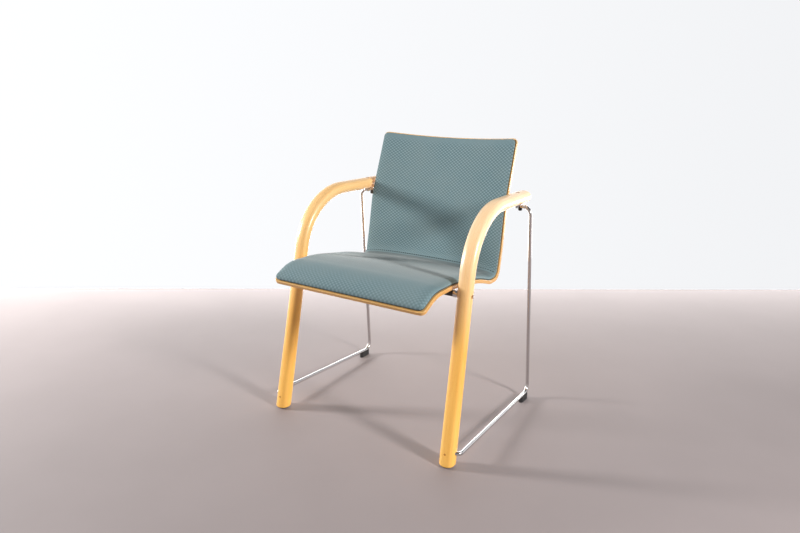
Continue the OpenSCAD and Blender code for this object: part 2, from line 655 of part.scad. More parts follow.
// Over the bend the cloth leaves the shell's curve and spans it in a smooth cove between two
// lengths, with the tangents it has there. The cove fades out towards the side rims.
cove_run = 45;
cove_pull = 0.375;
function pad_front(s, w, t, e) =
    shell_point(s, w * (1 - (border + e) / half_w(s)), ply_t + pad_gap + t, 0);
function side_t(s, w, mid) = shoulder((1 - abs(w)) * half_w(s), mid - pad_fall * w * w);
function cove(s, w, e) =
    let (t0 = side_t(seam_s, w, seat_pad_t), t1 = side_t(seam_s, w, back_pad_t),
         a = pad_front(seam_s - cove_run, w, t0, e), b = pad_front(seam_s + cove_run, w, t1, e),
         u = unit(a - pad_front(seam_s - cove_run - 2, w, t0, e)),
         v = unit(pad_front(seam_s + cove_run + 2, w, t1, e) - b),
         h = cove_pull * norm(b - a), f = (s - seam_s + cove_run) / (2 * cove_run), g = 1 - f)
    g * g * g * a + 3 * g * g * f * (a + u * h) + 3 * g * f * f * (b - v * h) + f * f * f * b;
function pad_points(s0, s1, mid, lip, front_r, rear_r, open_end) =
    let (rows = [for (k = [0:pad_rows - 1]) let (t = k / (pad_rows - 1))
            s0 + (s1 - s0) * (t - sin(360 * t) / 11.25)])
    [for (top = [0, 1], s = rows, c = [0:pad_cols - 1])
        let (w = across(c, pad_cols, 0.82), e = max(nip(front_r, s - s0), nip(rear_r, s1 - s)),
             d = min((1 - abs(w)) * half_w(s), open_end == "rear" ? s - s0 + 1 : s1 - s + 1),
             m = mid + lip * (1 - ease(lip_from, lip_to, s)) - pad_fall * w * w,
             near = pad_front(s, w, top * shoulder(d, m), e),
             share = top == 1 && abs(s - seam_s) < cove_run ? 1 - pow(w, 6) : 0)
        share > 0 ? near * (1 - share) + cove(s, w, e) * share : near];
pad_split = 0.8;
pad_tuck_r = 2;
seat_points = pad_points(border, seam_s - pad_split, seat_pad_t, lip_pad, corner_r, pad_tuck_r,
    "rear");
back_points = pad_points(seam_s + pad_split, shell_len - border, back_pad_t, 0, pad_tuck_r,
    corner_r, "front");
module pad(points) {
    polyhedron(points, slab_faces(pad_rows, pad_cols), convexity = 8);
}

// Bracket welded to the back rail and screwed to the shell's rear face
bracket_at = shell_point(rail_s, bracket_x / half_w(rail_s), 0, 0);
bracket_tan = along(rail_s);
bracket_tilt = atan2(bracket_tan[0], bracket_tan[1]);
bracket_swing = atan(2 * hollow(rail_s) * bracket_x / pow(half_w(rail_s), 2));
bracket_h = 52;
bracket_w = 26;
web_w = 12;
web_h = 8;
plate_t = 3;
plate_gap = 0.9;
bracket_screw_in = 8;
module at_bracket() {
    translate(bracket_at) rotate([0, 0, -bracket_swing]) rotate([-bracket_tilt, 0, 0]) children();
}
module bracket() {
    difference() {
        union() {
            at_bracket() translate([-bracket_w / 2, plate_gap, -bracket_h / 2])
                cube([bracket_w, plate_t, bracket_h]);
            difference() {
                translate([bracket_x - web_w / 2, bracket_at[1] + 2, rod_top_z - web_h / 2])
                    cube([web_w, rail_y - bracket_at[1] - 2, web_h]);
                at_bracket() translate([-bracket_w, -bracket_w, -bracket_w])
                    cube([2 * bracket_w, bracket_w + plate_gap + plate_t / 2, 2 * bracket_w]);
            }
        }
        at_bracket() for (s = [-1, 1])
            translate([0, bracket_w, s * (bracket_h / 2 - bracket_screw_in)])
                rotate([90, 0, 0]) cylinder(d = screw_d + 2 * slip, h = 3 * bracket_w);
        translate([bracket_x - bracket_w, rail_y, rod_top_z]) rotate([0, 90, 0])
            cylinder(r = rod_r + 0.02, h = 2 * bracket_w);
    }
}
module bracket_screw_pair(extra) {
    at_bracket() for (s = [-1, 1])
        translate([0, plate_gap + plate_t + seat_gap, s * (bracket_h / 2 - bracket_screw_in)])
            rotate([90, 0, 0]) {
                translate([0, 0, -screw_head_t]) cylinder(d = screw_head_d, h = screw_head_t);
                translate([0, 0, -1])
                    cylinder(d = screw_d + 2 * extra, h = plate_t + ply_t - 2 + extra);
            }
}

// Shift that centres the bounding box on the origin
front_y = min(shell_point(0, 0, ply_t, 0)[1], min([for (p = seat_points) p[1]]));
rear_y = max(shell_point(shell_len, 0, 0, 0)[1], post_foot_y + rod_r + 0.2);
shift_y = -(front_y + rear_y) / 2;
// Mirrored copy for the other side
module flip() {
    mirror([1, 0, 0]) children();
}

wood_c = [0.89, 0.69, 0.42];
ply_c = [0.86, 0.64, 0.36];
steel_c = [0.72, 0.71, 0.72];
bar_c = [0.25, 0.25, 0.26];
black_c = [0.05, 0.05, 0.05];
zinc_c = [0.6, 0.6, 0.62];
cloth_c = [0.40, 0.52, 0.54];
plug_c = [0.72, 0.48, 0.27];

// One module for each sub-part
module side_left() { color(wood_c) side(); }
module side_right() { color(wood_c) flip() side(); }
module rod_left() { color(steel_c) rod(); }
module rod_right() { color(steel_c) flip() rod(); }
module back_rail() { color(steel_c) rail(); }
module bracket_left() { color(bar_c) bracket(); }
module bracket_right() { color(bar_c) flip() bracket(); }
module bracket_screws() {
    color(zinc_c) for (m = [0, 1]) mirror([m, 0, 0]) bracket_screw_pair(0);
}
module tongue_left() { color(steel_c) tongue(); }
module tongue_right() { color(steel_c) flip() tongue(); }
module arm_bolt_left() { color(zinc_c) arm_bolt(); }
module arm_bolt_right() { color(zinc_c) flip() arm_bolt(); }
module arm_nut_left() { color(zinc_c) arm_nut(); }
module arm_nut_right() { color(zinc_c) flip() arm_nut(); }
module arm_plug_left() { color(plug_c) arm_plug(); }
module arm_plug_right() { color(plug_c) flip() arm_plug(); }
module buffer_left() { color(black_c) buffer(); }
module buffer_right() { color(black_c) flip() buffer(); }
module runner_glide_left() { color(black_c) runner_glide(); }
module runner_glide_right() { color(black_c) flip() runner_glide(); }
module disc_glide_left() { color(black_c) disc_glide(); }
module disc_glide_right() { color(black_c) flip() disc_glide(); }
module lock_plug_left() { color(plug_c) lock_plug(); }
module lock_plug_right() { color(plug_c) flip() lock_plug(); }
module cross_bar() { color(bar_c) bar(); }
module sleeve_left() { color(steel_c) sleeve(); }
module sleeve_right() { color(steel_c) flip() sleeve(); }
module leg_bolt_left() { color(bar_c) leg_bolt(); }
module leg_bolt_right() { color(bar_c) flip() leg_bolt(); }
module saddle_left() { color(bar_c) saddle(); }
module saddle_right() { color(bar_c) flip() saddle(); }
module saddle_screws() {
    color(zinc_c) for (m = [0, 1], s = [-1, 1]) mirror([m, 0, 0]) saddle_screw_at(s);
}
module ply_shell() { color(ply_c) shell(); }
module seat_pad() { color(cloth_c) pad(seat_points); }
module back_pad() { color(cloth_c) pad(back_points); }

translate([0, shift_y, 0]) {
    side_left();
    side_right();
    rod_left();
    rod_right();
    back_rail();
    bracket_left();
    bracket_right();
    bracket_screws();
    tongue_left();
    tongue_right();
    arm_bolt_left();
    arm_bolt_right();
    arm_nut_left();
    arm_nut_right();
    arm_plug_left();
    arm_plug_right();
    buffer_left();
    buffer_right();
    runner_glide_left();
    runner_glide_right();
    disc_glide_left();
    disc_glide_right();
    lock_plug_left();
    lock_plug_right();
    cross_bar();
    sleeve_left();
    sleeve_right();
    leg_bolt_left();
    leg_bolt_right();
    saddle_left();
    saddle_right();
    saddle_screws();
    ply_shell();
    seat_pad();
    back_pad();
}
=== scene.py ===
"""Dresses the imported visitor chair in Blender: beech, moulded plywood, sewn cloth and steel.

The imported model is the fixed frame. Pieces worked out here replace the nodes they stand for, and
every other node keeps its mesh and gets a finish.
"""

import math

import bpy
import numpy as np
from bpy.props import FloatProperty, FloatVectorProperty, PointerProperty
from bpy.types import Operator, Panel, PropertyGroup
from mathutils import Matrix, Vector


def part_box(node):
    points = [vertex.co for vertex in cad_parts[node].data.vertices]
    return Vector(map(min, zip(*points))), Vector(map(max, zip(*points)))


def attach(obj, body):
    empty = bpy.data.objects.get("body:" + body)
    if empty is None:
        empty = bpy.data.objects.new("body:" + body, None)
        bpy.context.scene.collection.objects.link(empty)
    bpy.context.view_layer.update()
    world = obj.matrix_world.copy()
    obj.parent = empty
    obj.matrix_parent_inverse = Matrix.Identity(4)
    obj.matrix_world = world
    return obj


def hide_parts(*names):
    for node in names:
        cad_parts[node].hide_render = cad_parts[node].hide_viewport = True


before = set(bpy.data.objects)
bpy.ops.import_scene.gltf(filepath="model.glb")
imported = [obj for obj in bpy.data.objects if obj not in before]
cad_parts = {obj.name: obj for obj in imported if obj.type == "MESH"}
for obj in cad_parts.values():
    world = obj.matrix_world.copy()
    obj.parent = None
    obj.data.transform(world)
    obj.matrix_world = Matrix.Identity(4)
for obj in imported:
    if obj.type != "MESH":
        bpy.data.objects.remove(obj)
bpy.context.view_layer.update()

bl_info = {
    "name": "Visitor chair",
    "version": (1, 0, 0),
    "blender": (4, 5, 0),
    "location": "3D View > Sidebar > Chair",
    "description": "Builds the finished surfaces of a visitor chair around its packed frame",
    "category": "Add Mesh",
}

BODY = "root"
DISC_T = 0.003
PAD_GAP = 0.0005


def length(name, description, default):
    """A property that holds a size in metres."""
    return FloatProperty(name=name, description=description, default=default, unit="LENGTH",
                         precision=5)


def angle(name, description, degrees):
    """A property that holds an angle, given here in degrees."""
    return FloatProperty(name=name, description=description, default=math.radians(degrees),
                         unit="ROTATION")


def colour(name, description, default):
    """A property that holds a linear colour."""
    return FloatVectorProperty(name=name, description=description, default=default,
                               subtype="COLOR", size=3, min=0.0, max=1.0)


def plain(name, description, default):
    """A property that holds a bare number."""
    return FloatProperty(name=name, description=description, default=default, precision=4)


class ChairSideSizes(PropertyGroup):
    leg_spread: length("Leg spread", "Distance between the centres of the leg bottoms", 0.561)
    arm_height: length("Arm height", "Height of the armrest's centre at its rear end", 0.620)
    arm_reach: length("Arm reach", "How far the armrest ends behind the leg's bottom", 0.469)
    leg_lean: angle("Leg lean", "Lean of the leg from upright", 11.7)
    arm_bend: length("Arm bend", "Radius of the bend between leg and armrest", 0.184)
    arm_fall: angle("Arm fall", "Fall of the armrest towards the rear", 0.9)
    leg_bottom: length("Leg bottom", "Diameter of the leg at the floor", 0.0415)
    arm_width: length("Arm width", "Width of the armrest", 0.045)
    arm_thickness: length("Arm thickness", "Thickness of the armrest", 0.035)
    leg_waist: length("Leg waist", "Thickness of the leg below the bend", 0.031)
    side_lean: plain("Side lean", "Lean inwards for each metre of height", 0.016)
    side_toe: plain("Side toe", "Closing inwards for each metre towards the rear", 0.029)
    wood_light: colour("Light wood", "Colour of the light grain", (0.985, 0.56, 0.122))
    wood_dark: colour("Dark wood", "Colour of the dark grain", (0.83, 0.345, 0.036))
    # Painted highlight: the paler colour of the armrests.
    wood_highlight: colour("Pale wood", "Colour of the rubbed armrests", (0.96, 0.77, 0.57))


class ChairShellSizes(PropertyGroup):
    thickness: length("Thickness", "Thickness of the moulded plywood", 0.010)
    side_in: length("Side in", "How far the front's side edge lies inside the leg", 0.0425)
    waist_in: length("Waist in", "How much each side draws in to the waist", 0.006)
    top_in: length("Top in", "How much each side draws in to the top edge", 0.0115)
    seat_height: length("Seat height", "Underside of the seat over the cross-bar", 0.436)
    lip_reach: length("Lip reach", "How far the lip reaches ahead of the leg's bottom", 0.052)
    lip_drop: length("Lip drop", "Drop of the front lip", 0.0284)
    rear_drop: length("Rear drop", "Drop of the seat's rear", 0.046)
    seat_depth: length("Seat depth", "Distance of the back's foot from the leg's bottom", 0.3685)
    top_height: length("Top height", "Height of the shell's top corners", 0.7785)
    back_rake: length("Back rake", "How far the top edge lies behind the back's foot", 0.1055)
    back_hollow: length("Back hollow", "Depth of the back's hollow", 0.033)
    seat_hollow: length("Seat hollow", "Depth of the seat's hollow", 0.005)
    corner: length("Corner", "Radius of the four corners", 0.014)
    ply_light: colour("Light ply", "Colour of the light veneers", (0.83, 0.50, 0.18))
    ply_dark: colour("Dark ply", "Colour of the cross veneers", (0.60, 0.28, 0.07))


class ChairPadSizes(PropertyGroup):
    border: length("Border", "Bare plywood around the pads", 0.0035)
    seat_thickness: length("Seat pad", "Thickness of the seat pad at its middle", 0.0155)
    lip_extra: length("Lip extra", "Extra thickness of the seat pad over the lip", 0.006)
    back_thickness: length("Back pad", "Thickness of the back pad at its middle", 0.014)
    edge: length("Edge", "Thickness of a pad at its edge", 0.005)
    shoulder: length("Shoulder", "Width of the rounded shoulder", 0.030)
    side_fall: length("Side fall", "How much thinner a pad is at its sides", 0.0025)
    pressure: plain("Pressure", "Pressure of the filling in the cloth simulation", 4.0)
    give: length("Give", "Longest move that the cloth keeps from the simulation", 0.0018)
    seat_crown: length("Seat crown", "Filling of the dip ahead of the seam", 0.013)
    seam_arc: length("Seam arc", "How far the seam's middle lies up the back", 0.002)
    cove_run: length("Cove run", "Reach of the bridged bend on each side of the seam", 0.045)
    cove_pull: plain("Cove pull", "How strongly the bridged bend keeps its end directions", 0.375)
    stitch_pitch: length("Stitch pitch", "Distance from stitch to stitch in the seam", 0.0078)
    thread: length("Thread", "Thickness of the seam's thread", 0.0022)
    # Painted sheen: these two lengths bound the seat's lighter painted area; the painted crease
    # shade starts at the second.
    sheen_from: length("Worn from", "Start of the rubbed area behind the seat's front", 0.055)
    sheen_end: length("Worn end", "End of the rubbed area ahead of the seam", 0.205)
    cloth_ground: colour("Ground", "Colour of the cloth's ground", (0.108, 0.180, 0.202))
    # Painted sheen: the lighter grey painted on the seat's top.
    cloth_painted_sheen: colour("Worn cloth", "Colour of the rubbed cloth on the seat",
                       (0.365, 0.385, 0.388))
    # Painted shade: the dark grey painted in the seat's rear crease.
    cloth_crease_shade: colour("Soiled cloth", "Colour of the cloth in the crease", (0.100, 0.108, 0.109))
    cloth_dot: colour("Dots", "Colour of the cloth's woven dots", (0.256, 0.356, 0.382))
    dot_across: length("Dot repeat across", "Repeat of the dots across the width", 0.01235)
    dot_along: length("Dot repeat along", "Repeat of the dots along the length", 0.00943)


class ChairSteelLooks(PropertyGroup):
    steel: colour("Bright steel", "Colour of the plated rods", (0.66, 0.64, 0.64))
    roughness: plain("Roughness", "Roughness of the plating", 0.16)


class ChairStageSizes(PropertyGroup):
    camera_x: length("Camera X", "Camera place from the middle of the legs, sideways", 0.97720)
    camera_y: length("Camera Y", "Camera place from the middle of the legs, ahead", -1.27821)
    camera_z: length("Camera Z", "Camera height over the floor", 0.94201)
    azimuth: angle("Azimuth", "Direction that the camera looks in", 33.351)
    pitch: angle("Pitch", "How far down the camera looks", 16.055)
    roll: angle("Roll", "Turn of the picture", 0.1095)
    lens: plain("Lens", "Focal length on a 36 mm frame", 29.34)
    floor_end: length("Floor end", "Where the floor ends in front of the camera", 2.894)
    floor_colour: colour("Floor", "Colour of the floor", (0.270, 0.230, 0.229))


def settings():
    """The scene, which holds the groups of sizes."""
    return bpy.context.scene


# Shape helpers


def smooth(a, b, x):
    """Goes from 0 at a to 1 at b without a kink: 3t² - 2t³ with t the share of the way."""
    t = np.clip((x - a) / (b - a), 0.0, 1.0)
    return t * t * (3.0 - 2.0 * t)


def quarter(d, radius):
    """Rises from 0 at distance 0 to 1 at the radius: the root of 1 - (1 - d / radius)²."""
    return np.sqrt(np.maximum(0.0, 1 - (1 - np.minimum(1.0, d / radius)) ** 2))


def unit(v):
    """Vectors divided by their own lengths."""
    return v / np.linalg.norm(v, axis=-1, keepdims=True)


def lengths_along(line):
    """Length from the start of a polyline to each of its points."""
    return np.concatenate([[0.0], np.cumsum(np.linalg.norm(np.diff(line, axis=0), axis=1))])


def at_lengths(wanted, lengths, values):
    """Rows of values at the wanted lengths, on straight lines between those at rising ones."""
    return np.stack([np.interp(wanted, lengths, column) for column in values.T], -1)


def grid_quads(rows, cols, around=False):
    """Quads between neighbouring rows and columns; around joins the last column to the first."""
    r = np.arange(rows - 1)[:, None]
    c = np.arange(cols if around else cols - 1)[None]
    n = (c + 1) % cols
    return np.stack([r * cols + c, r * cols + n, (r + 1) * cols + n, (r + 1) * cols + c],
                    -1).reshape(-1, 4)


def fan(ring, pole, flip=False):
    """Triangles from a closed ring of point numbers to one pole."""
    corners = np.stack([ring, np.roll(ring, -1), np.full_like(ring, pole)], -1)
    return corners[:, ::-1] if flip else corners


def volume(points, faces):
    """Signed volume inside a closed skin, positive when its faces point outwards."""
    total = 0.0
    for f in faces:
        for k in range(1, f.shape[1] - 1):
            a, b, c = points[f[:, 0]], points[f[:, k]], points[f[:, k + 1]]
            total += np.einsum("ij,ij->", a, np.cross(b, c)) / 6.0
    return total


def closed_tube(rings):
    """Skin of a tube through rings of points, each end closed by triangles to its middle."""
    rows, around = rings.shape[:2]
    points = np.concatenate([rings.reshape(-1, 3), rings[:1].mean(1), rings[-1:].mean(1)])
    first = np.arange(around)
    last = first + (rows - 1) * around
    ends = fan(first, rows * around, flip=True), fan(last, rows * around + 1)
    return points, [grid_quads(rows, around, around=True), np.concatenate(ends)]


def put(name, data):
    """New object with this data, linked to the scene."""
    made = bpy.data.objects.new(name, data)
    bpy.context.scene.collection.objects.link(made)
    return made


def make_mesh(name, points, faces):
    """Mesh object from an array of points and arrays of quads and triangles, faces outwards."""
    if volume(points, faces) < 0:
        faces = [f[:, ::-1] for f in faces]
    corners = np.concatenate([f.reshape(-1) for f in faces]).astype(np.int32)
    sizes = np.concatenate([np.full(len(f), f.shape[1], np.int32) for f in faces])
    mesh = bpy.data.meshes.new(name)
    mesh.vertices.add(len(points))
    mesh.vertices.foreach_set("co", np.asarray(points, np.float32).reshape(-1))
    mesh.loops.add(len(corners))
    mesh.loops.foreach_set("vertex_index", corners)
    mesh.polygons.add(len(sizes))
    mesh.polygons.foreach_set("loop_start", np.concatenate([[0], np.cumsum(sizes)[:-1]]))
    mesh.polygons.foreach_set("use_smooth", np.ones(len(sizes), bool))
    mesh.update(calc_edges=True)
    mesh.validate()
    return put(name, mesh)


def mesh_points(piece):
    """Array of the points of a piece's mesh."""
    points = np.empty(len(piece.data.vertices) * 3, np.float32)
    piece.data.vertices.foreach_get("co", points)
    return points.reshape(-1, 3).astype(float)


def give_vector(piece, name, values):
    """Stores one vector for each point of the mesh, for a material to read."""
    layer = piece.data.attributes.new(name, "FLOAT_VECTOR", "POINT")
    layer.data.foreach_set("vector", np.asarray(values, np.float32).reshape(-1))


def finish_piece(piece, material, slot, *nodes):
    """Material, body and the nodes that the piece stands for. The slot is not used."""
    piece.data.materials.clear()
    piece.data.materials.append(material)
    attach(piece, BODY)
    if nodes:
        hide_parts(*nodes)


def rear_shift():
    """Distance in Y from the leg bottoms' line to the origin, from the disc under a leg."""
    low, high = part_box("disc_glide_left")
    return (low.y + high.y) / 2 - DISC_T * math.tan(settings().chair_sides.leg_lean)


# Materials


class Nodes:
    """Node tree of a material or of the world, built from short calls."""

    def __init__(self, owner):
        owner.use_nodes = True
        self.tree = owner.node_tree
        self.tree.nodes.clear()

    def feed(self, value, socket):
        """Links a socket, or sets a plain value, which is three numbers for a colour."""
        if isinstance(value, bpy.types.NodeSocket):
            self.tree.links.new(value, socket)
        else:
            socket.default_value = (*value, 1.0) if socket.type == "RGBA" else value

    def node(self, kind, inputs=None, **values):
        """New node with these values, its inputs fed by their names or numbers."""
        made = self.tree.nodes.new(kind)
        for key, value in values.items():
            setattr(made, key, value)
        for key, value in (inputs or {}).items():
            self.feed(value, made.inputs[key])
        return made

    def noise(self, vector, scale, detail=2.0, rough=0.5, distortion=0.0):
        """Noise on a vector, with one scale or with one for each of its directions."""
        if isinstance(scale, tuple):
            mapping = self.node("ShaderNodeMapping", {"Vector": vector, "Scale": scale})
            vector, scale = mapping.outputs["Vector"], 1.0
        inputs = {"Vector": vector, "Scale": scale, "Detail": detail, "Roughness": rough,
                  "Distortion": distortion}
        return self.node("ShaderNodeTexNoise", inputs).outputs["Fac"]

    def ramp(self, value, *stops):
        """Colour on a ramp between two (place, colour) stops."""
        made = self.node("ShaderNodeValToRGB", {"Fac": value})
        for element, (place, shade) in zip(made.color_ramp.elements, stops):
            element.position = place
            element.color = (*shade, 1.0)
        return made.outputs["Color"]

    def level(self, value, low, high, out_low, out_high):
        """Number rescaled from one span to another, and held inside it."""
        inputs = {"Value": value, "From Min": low, "From Max": high, "To Min": out_low,
                  "To Max": out_high}
        return self.node("ShaderNodeMapRange", inputs).outputs["Result"]

    def share(self, value, start, end, most=1.0):
        """Share that rises from 0, where the value is start, to most, where it is end."""
        return self.level(value, start, end, 0.0, most)

    def mix(self, share, *shades):
        """Colour between two colours, which are sockets or plain ones."""
        made = self.node("ShaderNodeMix", {"Factor": share}, data_type="RGBA")
        for shade, socket in zip(shades, (s for s in made.inputs if s.type == "RGBA")):
            self.feed(shade, socket)
        return next(s for s in made.outputs if s.type == "RGBA")

    def math(self, how, *values):
        """Number worked out from one or two others."""
        inputs = dict(enumerate(values))
        return self.node("ShaderNodeMath", inputs, operation=how).outputs["Value"]

    def times(self, a, b):
        """Product of two numbers."""
        return self.math("MULTIPLY", a, b)

    def dot(self, vector, direction):
        """How far a vector goes in a direction: their dot product."""
        inputs = {0: vector, 1: direction}
        return self.node("ShaderNodeVectorMath", inputs, operation="DOT_PRODUCT").outputs["Value"]

    def parts(self, vector):
        """X, Y and Z of a vector."""
        return tuple(self.node("ShaderNodeSeparateXYZ", {"Vector": vector}).outputs)

    def bump(self, height, strength, distance):
        """Fine relief from a height, which is 0 to 1 over that distance."""
        inputs = {"Height": height, "Strength": strength, "Distance": distance}
        return self.node("ShaderNodeBump", inputs).outputs["Normal"]


class Finish(Nodes):
    """Material with its shader, whose sockets are named with _ for a space."""

    def __init__(self, name, **sockets):
        self.material = bpy.data.materials.new(name)
        super().__init__(self.material)
        self.shader = self.node("ShaderNodeBsdfPrincipled")
        self.node("ShaderNodeOutputMaterial", {"Surface": self.shader.outputs["BSDF"]})
        self.set(**sockets)

    def set(self, **sockets):
        """Feeds the shader's own sockets."""
        for key, value in sockets.items():
            self.feed(value, self.shader.inputs[key.replace("_", " ")])

    def object_place(self):
        """Place on the piece, in metres."""
        return self.node("ShaderNodeTexCoord").outputs["Object"]

    def stored(self, name):
        """Vector that the mesh holds under that name."""
        return self.node("ShaderNodeAttribute", attribute_name=name).outputs["Vector"]

    def fibres(self, fibre, smoothest, roughest):
        """Roughness and fine relief that follow the wood's fibres."""
        depth = 0.0002
        self.set(Roughness=self.level(fibre, 0.3, 0.7, smoothest, roughest),
                 Normal=self.bump(fibre, 0.12, depth))


materials = {}


def finish(maker):
    """Material that the maker gives, made on first use."""
    if maker not in materials:
        materials[maker] = maker()
    return materials[maker]


WOOD_FLECK = (0.36, 0.15, 0.04)


def beech():
    """Lacquered beech: long fine fibres, short flecks and slow changes of tone along the blank.

    The armrests carry a painted highlight: the wood is painted paler up the arms, more so on the
    sitter's left, which the right window lights.
    """
    look = settings().chair_sides
    f = Finish("lacquered_beech", Specular_IOR_Level=0.5, Coat_Weight=0.45, Coat_Roughness=0.22,
               Coat_IOR=1.6)
    blank = f.stored("blank")
    tone = f.noise(blank, (14.0, 14.0, 2.2), 3.0, 0.55)
    fibre = f.noise(blank, (900.0, 900.0, 16.0), 4.0, 0.6)
    fleck = f.noise(blank, (1500.0, 700.0, 190.0), 1.0)
    # Painted highlight: the arms are painted paler along their length, more so on the +X arm than
    # on the far one.
    highlight_from, highlight_full, palest, uneven = 0.36, 0.66, 0.68, 0.12
    side_x, far_share = 0.1, 0.48
    base = f.mix(f.share(tone, 0.35, 0.65, 0.55), look.wood_light, look.wood_dark)
    along = f.math("ADD", f.parts(blank)[2], f.times(tone, uneven))
    side = f.level(f.parts(f.object_place())[0], -side_x, side_x, far_share, 1.0)
    pale = f.times(f.share(along, highlight_from, highlight_full, palest), side)
    base = f.mix(pale, base, look.wood_highlight)
    base = f.mix(f.share(fibre, 0.45, 0.68, 0.35), base, look.wood_dark)
    f.set(Base_Color=f.mix(f.share(fleck, 0.66, 0.76, 0.35), base, WOOD_FLECK))
    f.fibres(fibre, 0.38, 0.52)
    return f.material


def plywood():
    """Beech veneers: sheet grain on the faces, light and dark plies with glue lines on the edge."""
    look = settings().chair_shell
    light, dark, glue_shade = look.ply_light, look.ply_dark, (0.16, 0.06, 0.02)
    ply_count, skin, skin_end = 7.0, 0.0003, 0.0006
    f = Finish("moulded_plywood", Coat_Weight=0.4, Coat_Roughness=0.18)
    sheet = f.stored("sheet")
    depth = f.parts(sheet)[2]
    fibre = f.noise(sheet, (700.0, 9.0, 100.0), 4.0, 0.6)
    figure = f.noise(sheet, (26.0, 2.4, 0.0), 3.0, 0.6, 0.6)
    flecks = f.noise(sheet, (900.0, 160.0, 0.0), 1.0)
    ends = f.noise(sheet, (300.0, 300.0, 900.0), 2.0)
    face = f.mix(f.share(fibre, 0.42, 0.7, 0.5), light, dark)
    face = f.mix(f.share(figure, 0.4, 0.75, 0.4), face, dark)
    face = f.mix(f.share(flecks, 0.66, 0.78, 0.3), face, WOOD_FLECK)
    plies = f.times(depth, ply_count / look.thickness)
    cross = f.share(f.math("FRACT", f.times(plies, 0.5)), 0.48, 0.52)
    glue = f.level(f.math("PINGPONG", plies, 0.5), 0.0, 0.09, 0.75, 0.0)
    edge = f.mix(glue, f.mix(cross, light, dark), glue_shade)
    edge = f.mix(f.share(ends, 0.4, 0.7, 0.3), edge, dark)
    inside = f.times(f.share(depth, skin, skin_end),
                     f.level(depth, look.thickness - skin_end, look.thickness - skin, 1.0, 0.0))
    f.set(Base_Color=f.mix(inside, face, edge))
    f.fibres(fibre, 0.3, 0.46)
    return f.material


def cloth():
    """Woven cloth: light dots on a darker ground where two sets of slanted waves meet.

    The pad's rim is painted dark, as the shade of its gap to the plywood, up to a height over its
    foot that falls with the length along the pad, so that the seat's front has a taller dark line
    than its sides. The seat also carries a painted sheen on its top and a painted shade in its
    rear crease.
    """
    look = settings().chair_pads
    yarn, flat_dots = 0.0011, 0.42
    grey, gap_shade, rim_painted_shade = (0.25, 0.30, 0.29), (0.03, 0.05, 0.05), (0.010, 0.014, 0.015)
    shadow_front, shadow_rear, shadow_fade = 0.0056, 0.0026, 0.0014
    f = Finish("woven_cloth", Roughness=0.85, Sheen_Weight=0.14, Sheen_Roughness=0.40,
               Sheen_Tint=(0.84, 0.84, 0.83), Specular_IOR_Level=0.2)
    weave = f.stored("weave")
    across, along, depth = f.parts(weave)
    # The second share is the seat's painted sheen, the third its painted crease shade.
    flat_share, painted_sheen_share, crease_shade_share = f.parts(f.stored("use"))
    x = f.times(across, math.tau / look.dot_across)
    y = f.times(along, math.tau / look.dot_along)
    waves = f.math("ADD", *(f.math("COSINE", f.math(how, x, y)) for how in ("ADD", "SUBTRACT")))
    dots = f.share(waves, -0.5, 1.5)
    yarns = f.times(*(f.math("SINE", f.times(way, math.tau / yarn)) for way in (across, along)))
    wear = f.noise(weave, (9.0, 9.0, 9.0), 4.0, 0.6)
    lost = f.times(flat_share, f.math("SUBTRACT", dots, flat_dots))
    shown = f.math("SUBTRACT", dots, lost)
    foot = settings().chair_shell.thickness + PAD_GAP
    # Painted shade: the gap between pad and plywood is painted dark along the pad's rim.
    reach = f.level(along, 0.06, 0.36, foot + shadow_front, foot + shadow_rear)
    rim = f.math("DIVIDE", f.math("SUBTRACT", reach, depth), shadow_fade)
    base = f.mix(shown, look.cloth_ground, look.cloth_dot)
    for share, shade in ((painted_sheen_share, look.cloth_painted_sheen), (crease_shade_share, look.cloth_crease_shade),
                         (f.share(wear, 0.35, 0.7, 0.22), grey),
                         (f.share(yarns, -1.0, 1.0, 0.16), gap_shade),
                         (f.share(rim, 0.0, 1.0, 0.82), rim_painted_shade)):
        base = f.mix(share, base, shade)
    height = f.math("ADD", f.times(shown, 0.6), f.times(yarns, 0.2))
    f.set(Base_Color=base, Normal=f.bump(height, 0.22, 0.0006))
    return f.material


def thread():
    """Dark sewing thread, its twist seen as a fine slanted ripple."""
    f = Finish("sewing_thread", Roughness=0.7, Specular_IOR_Level=0.3)
    x, y, z = f.parts(f.object_place())
    slant = f.math("ADD", x, f.math("ADD", y, z))
    twist = f.math("SINE", f.times(slant, 9000.0))
    shade = f.ramp(f.share(twist, -1.0, 1.0), (0.0, (0.006, 0.014, 0.016)),
                   (1.0, (0.018, 0.034, 0.038)))
    f.set(Base_Color=shade, Normal=f.bump(twist, 0.3, 0.0002))
    return f.material


def grained(name, shade, rough, skin, **sockets):
    """Finish whose colour, roughness and fine skin each follow a noise on the object.

    shade is (noise, stop, stop), rough is (noise, least, most) and skin is (noise, strength,
    depth), where a noise is (scale, detail, roughness). The first two may be missing.
    """
    f = Finish(name, **sockets)
    place = f.object_place()
    if shade:
        f.set(Base_Color=f.ramp(f.noise(place, *shade[0]), *shade[1:]))
    if rough:
        f.set(Roughness=f.level(f.noise(place, *rough[0]), 0.3, 0.7, *rough[1:]))
    f.set(Normal=f.bump(f.noise(place, *skin[0]), *skin[1:]))
    return f.material


def bright_steel():
    """Plated steel with faint drawing marks and dull patches."""
    look = settings().chair_steel
    haze, marks = (60.0, 3.0, 0.6), (1800.0, 2.0)
    return grained("bright_steel", None, (haze, look.roughness - 0.04, look.roughness + 0.07),
                   (marks, 0.03, 0.0001), Metallic=1.0, Base_Color=look.steel)


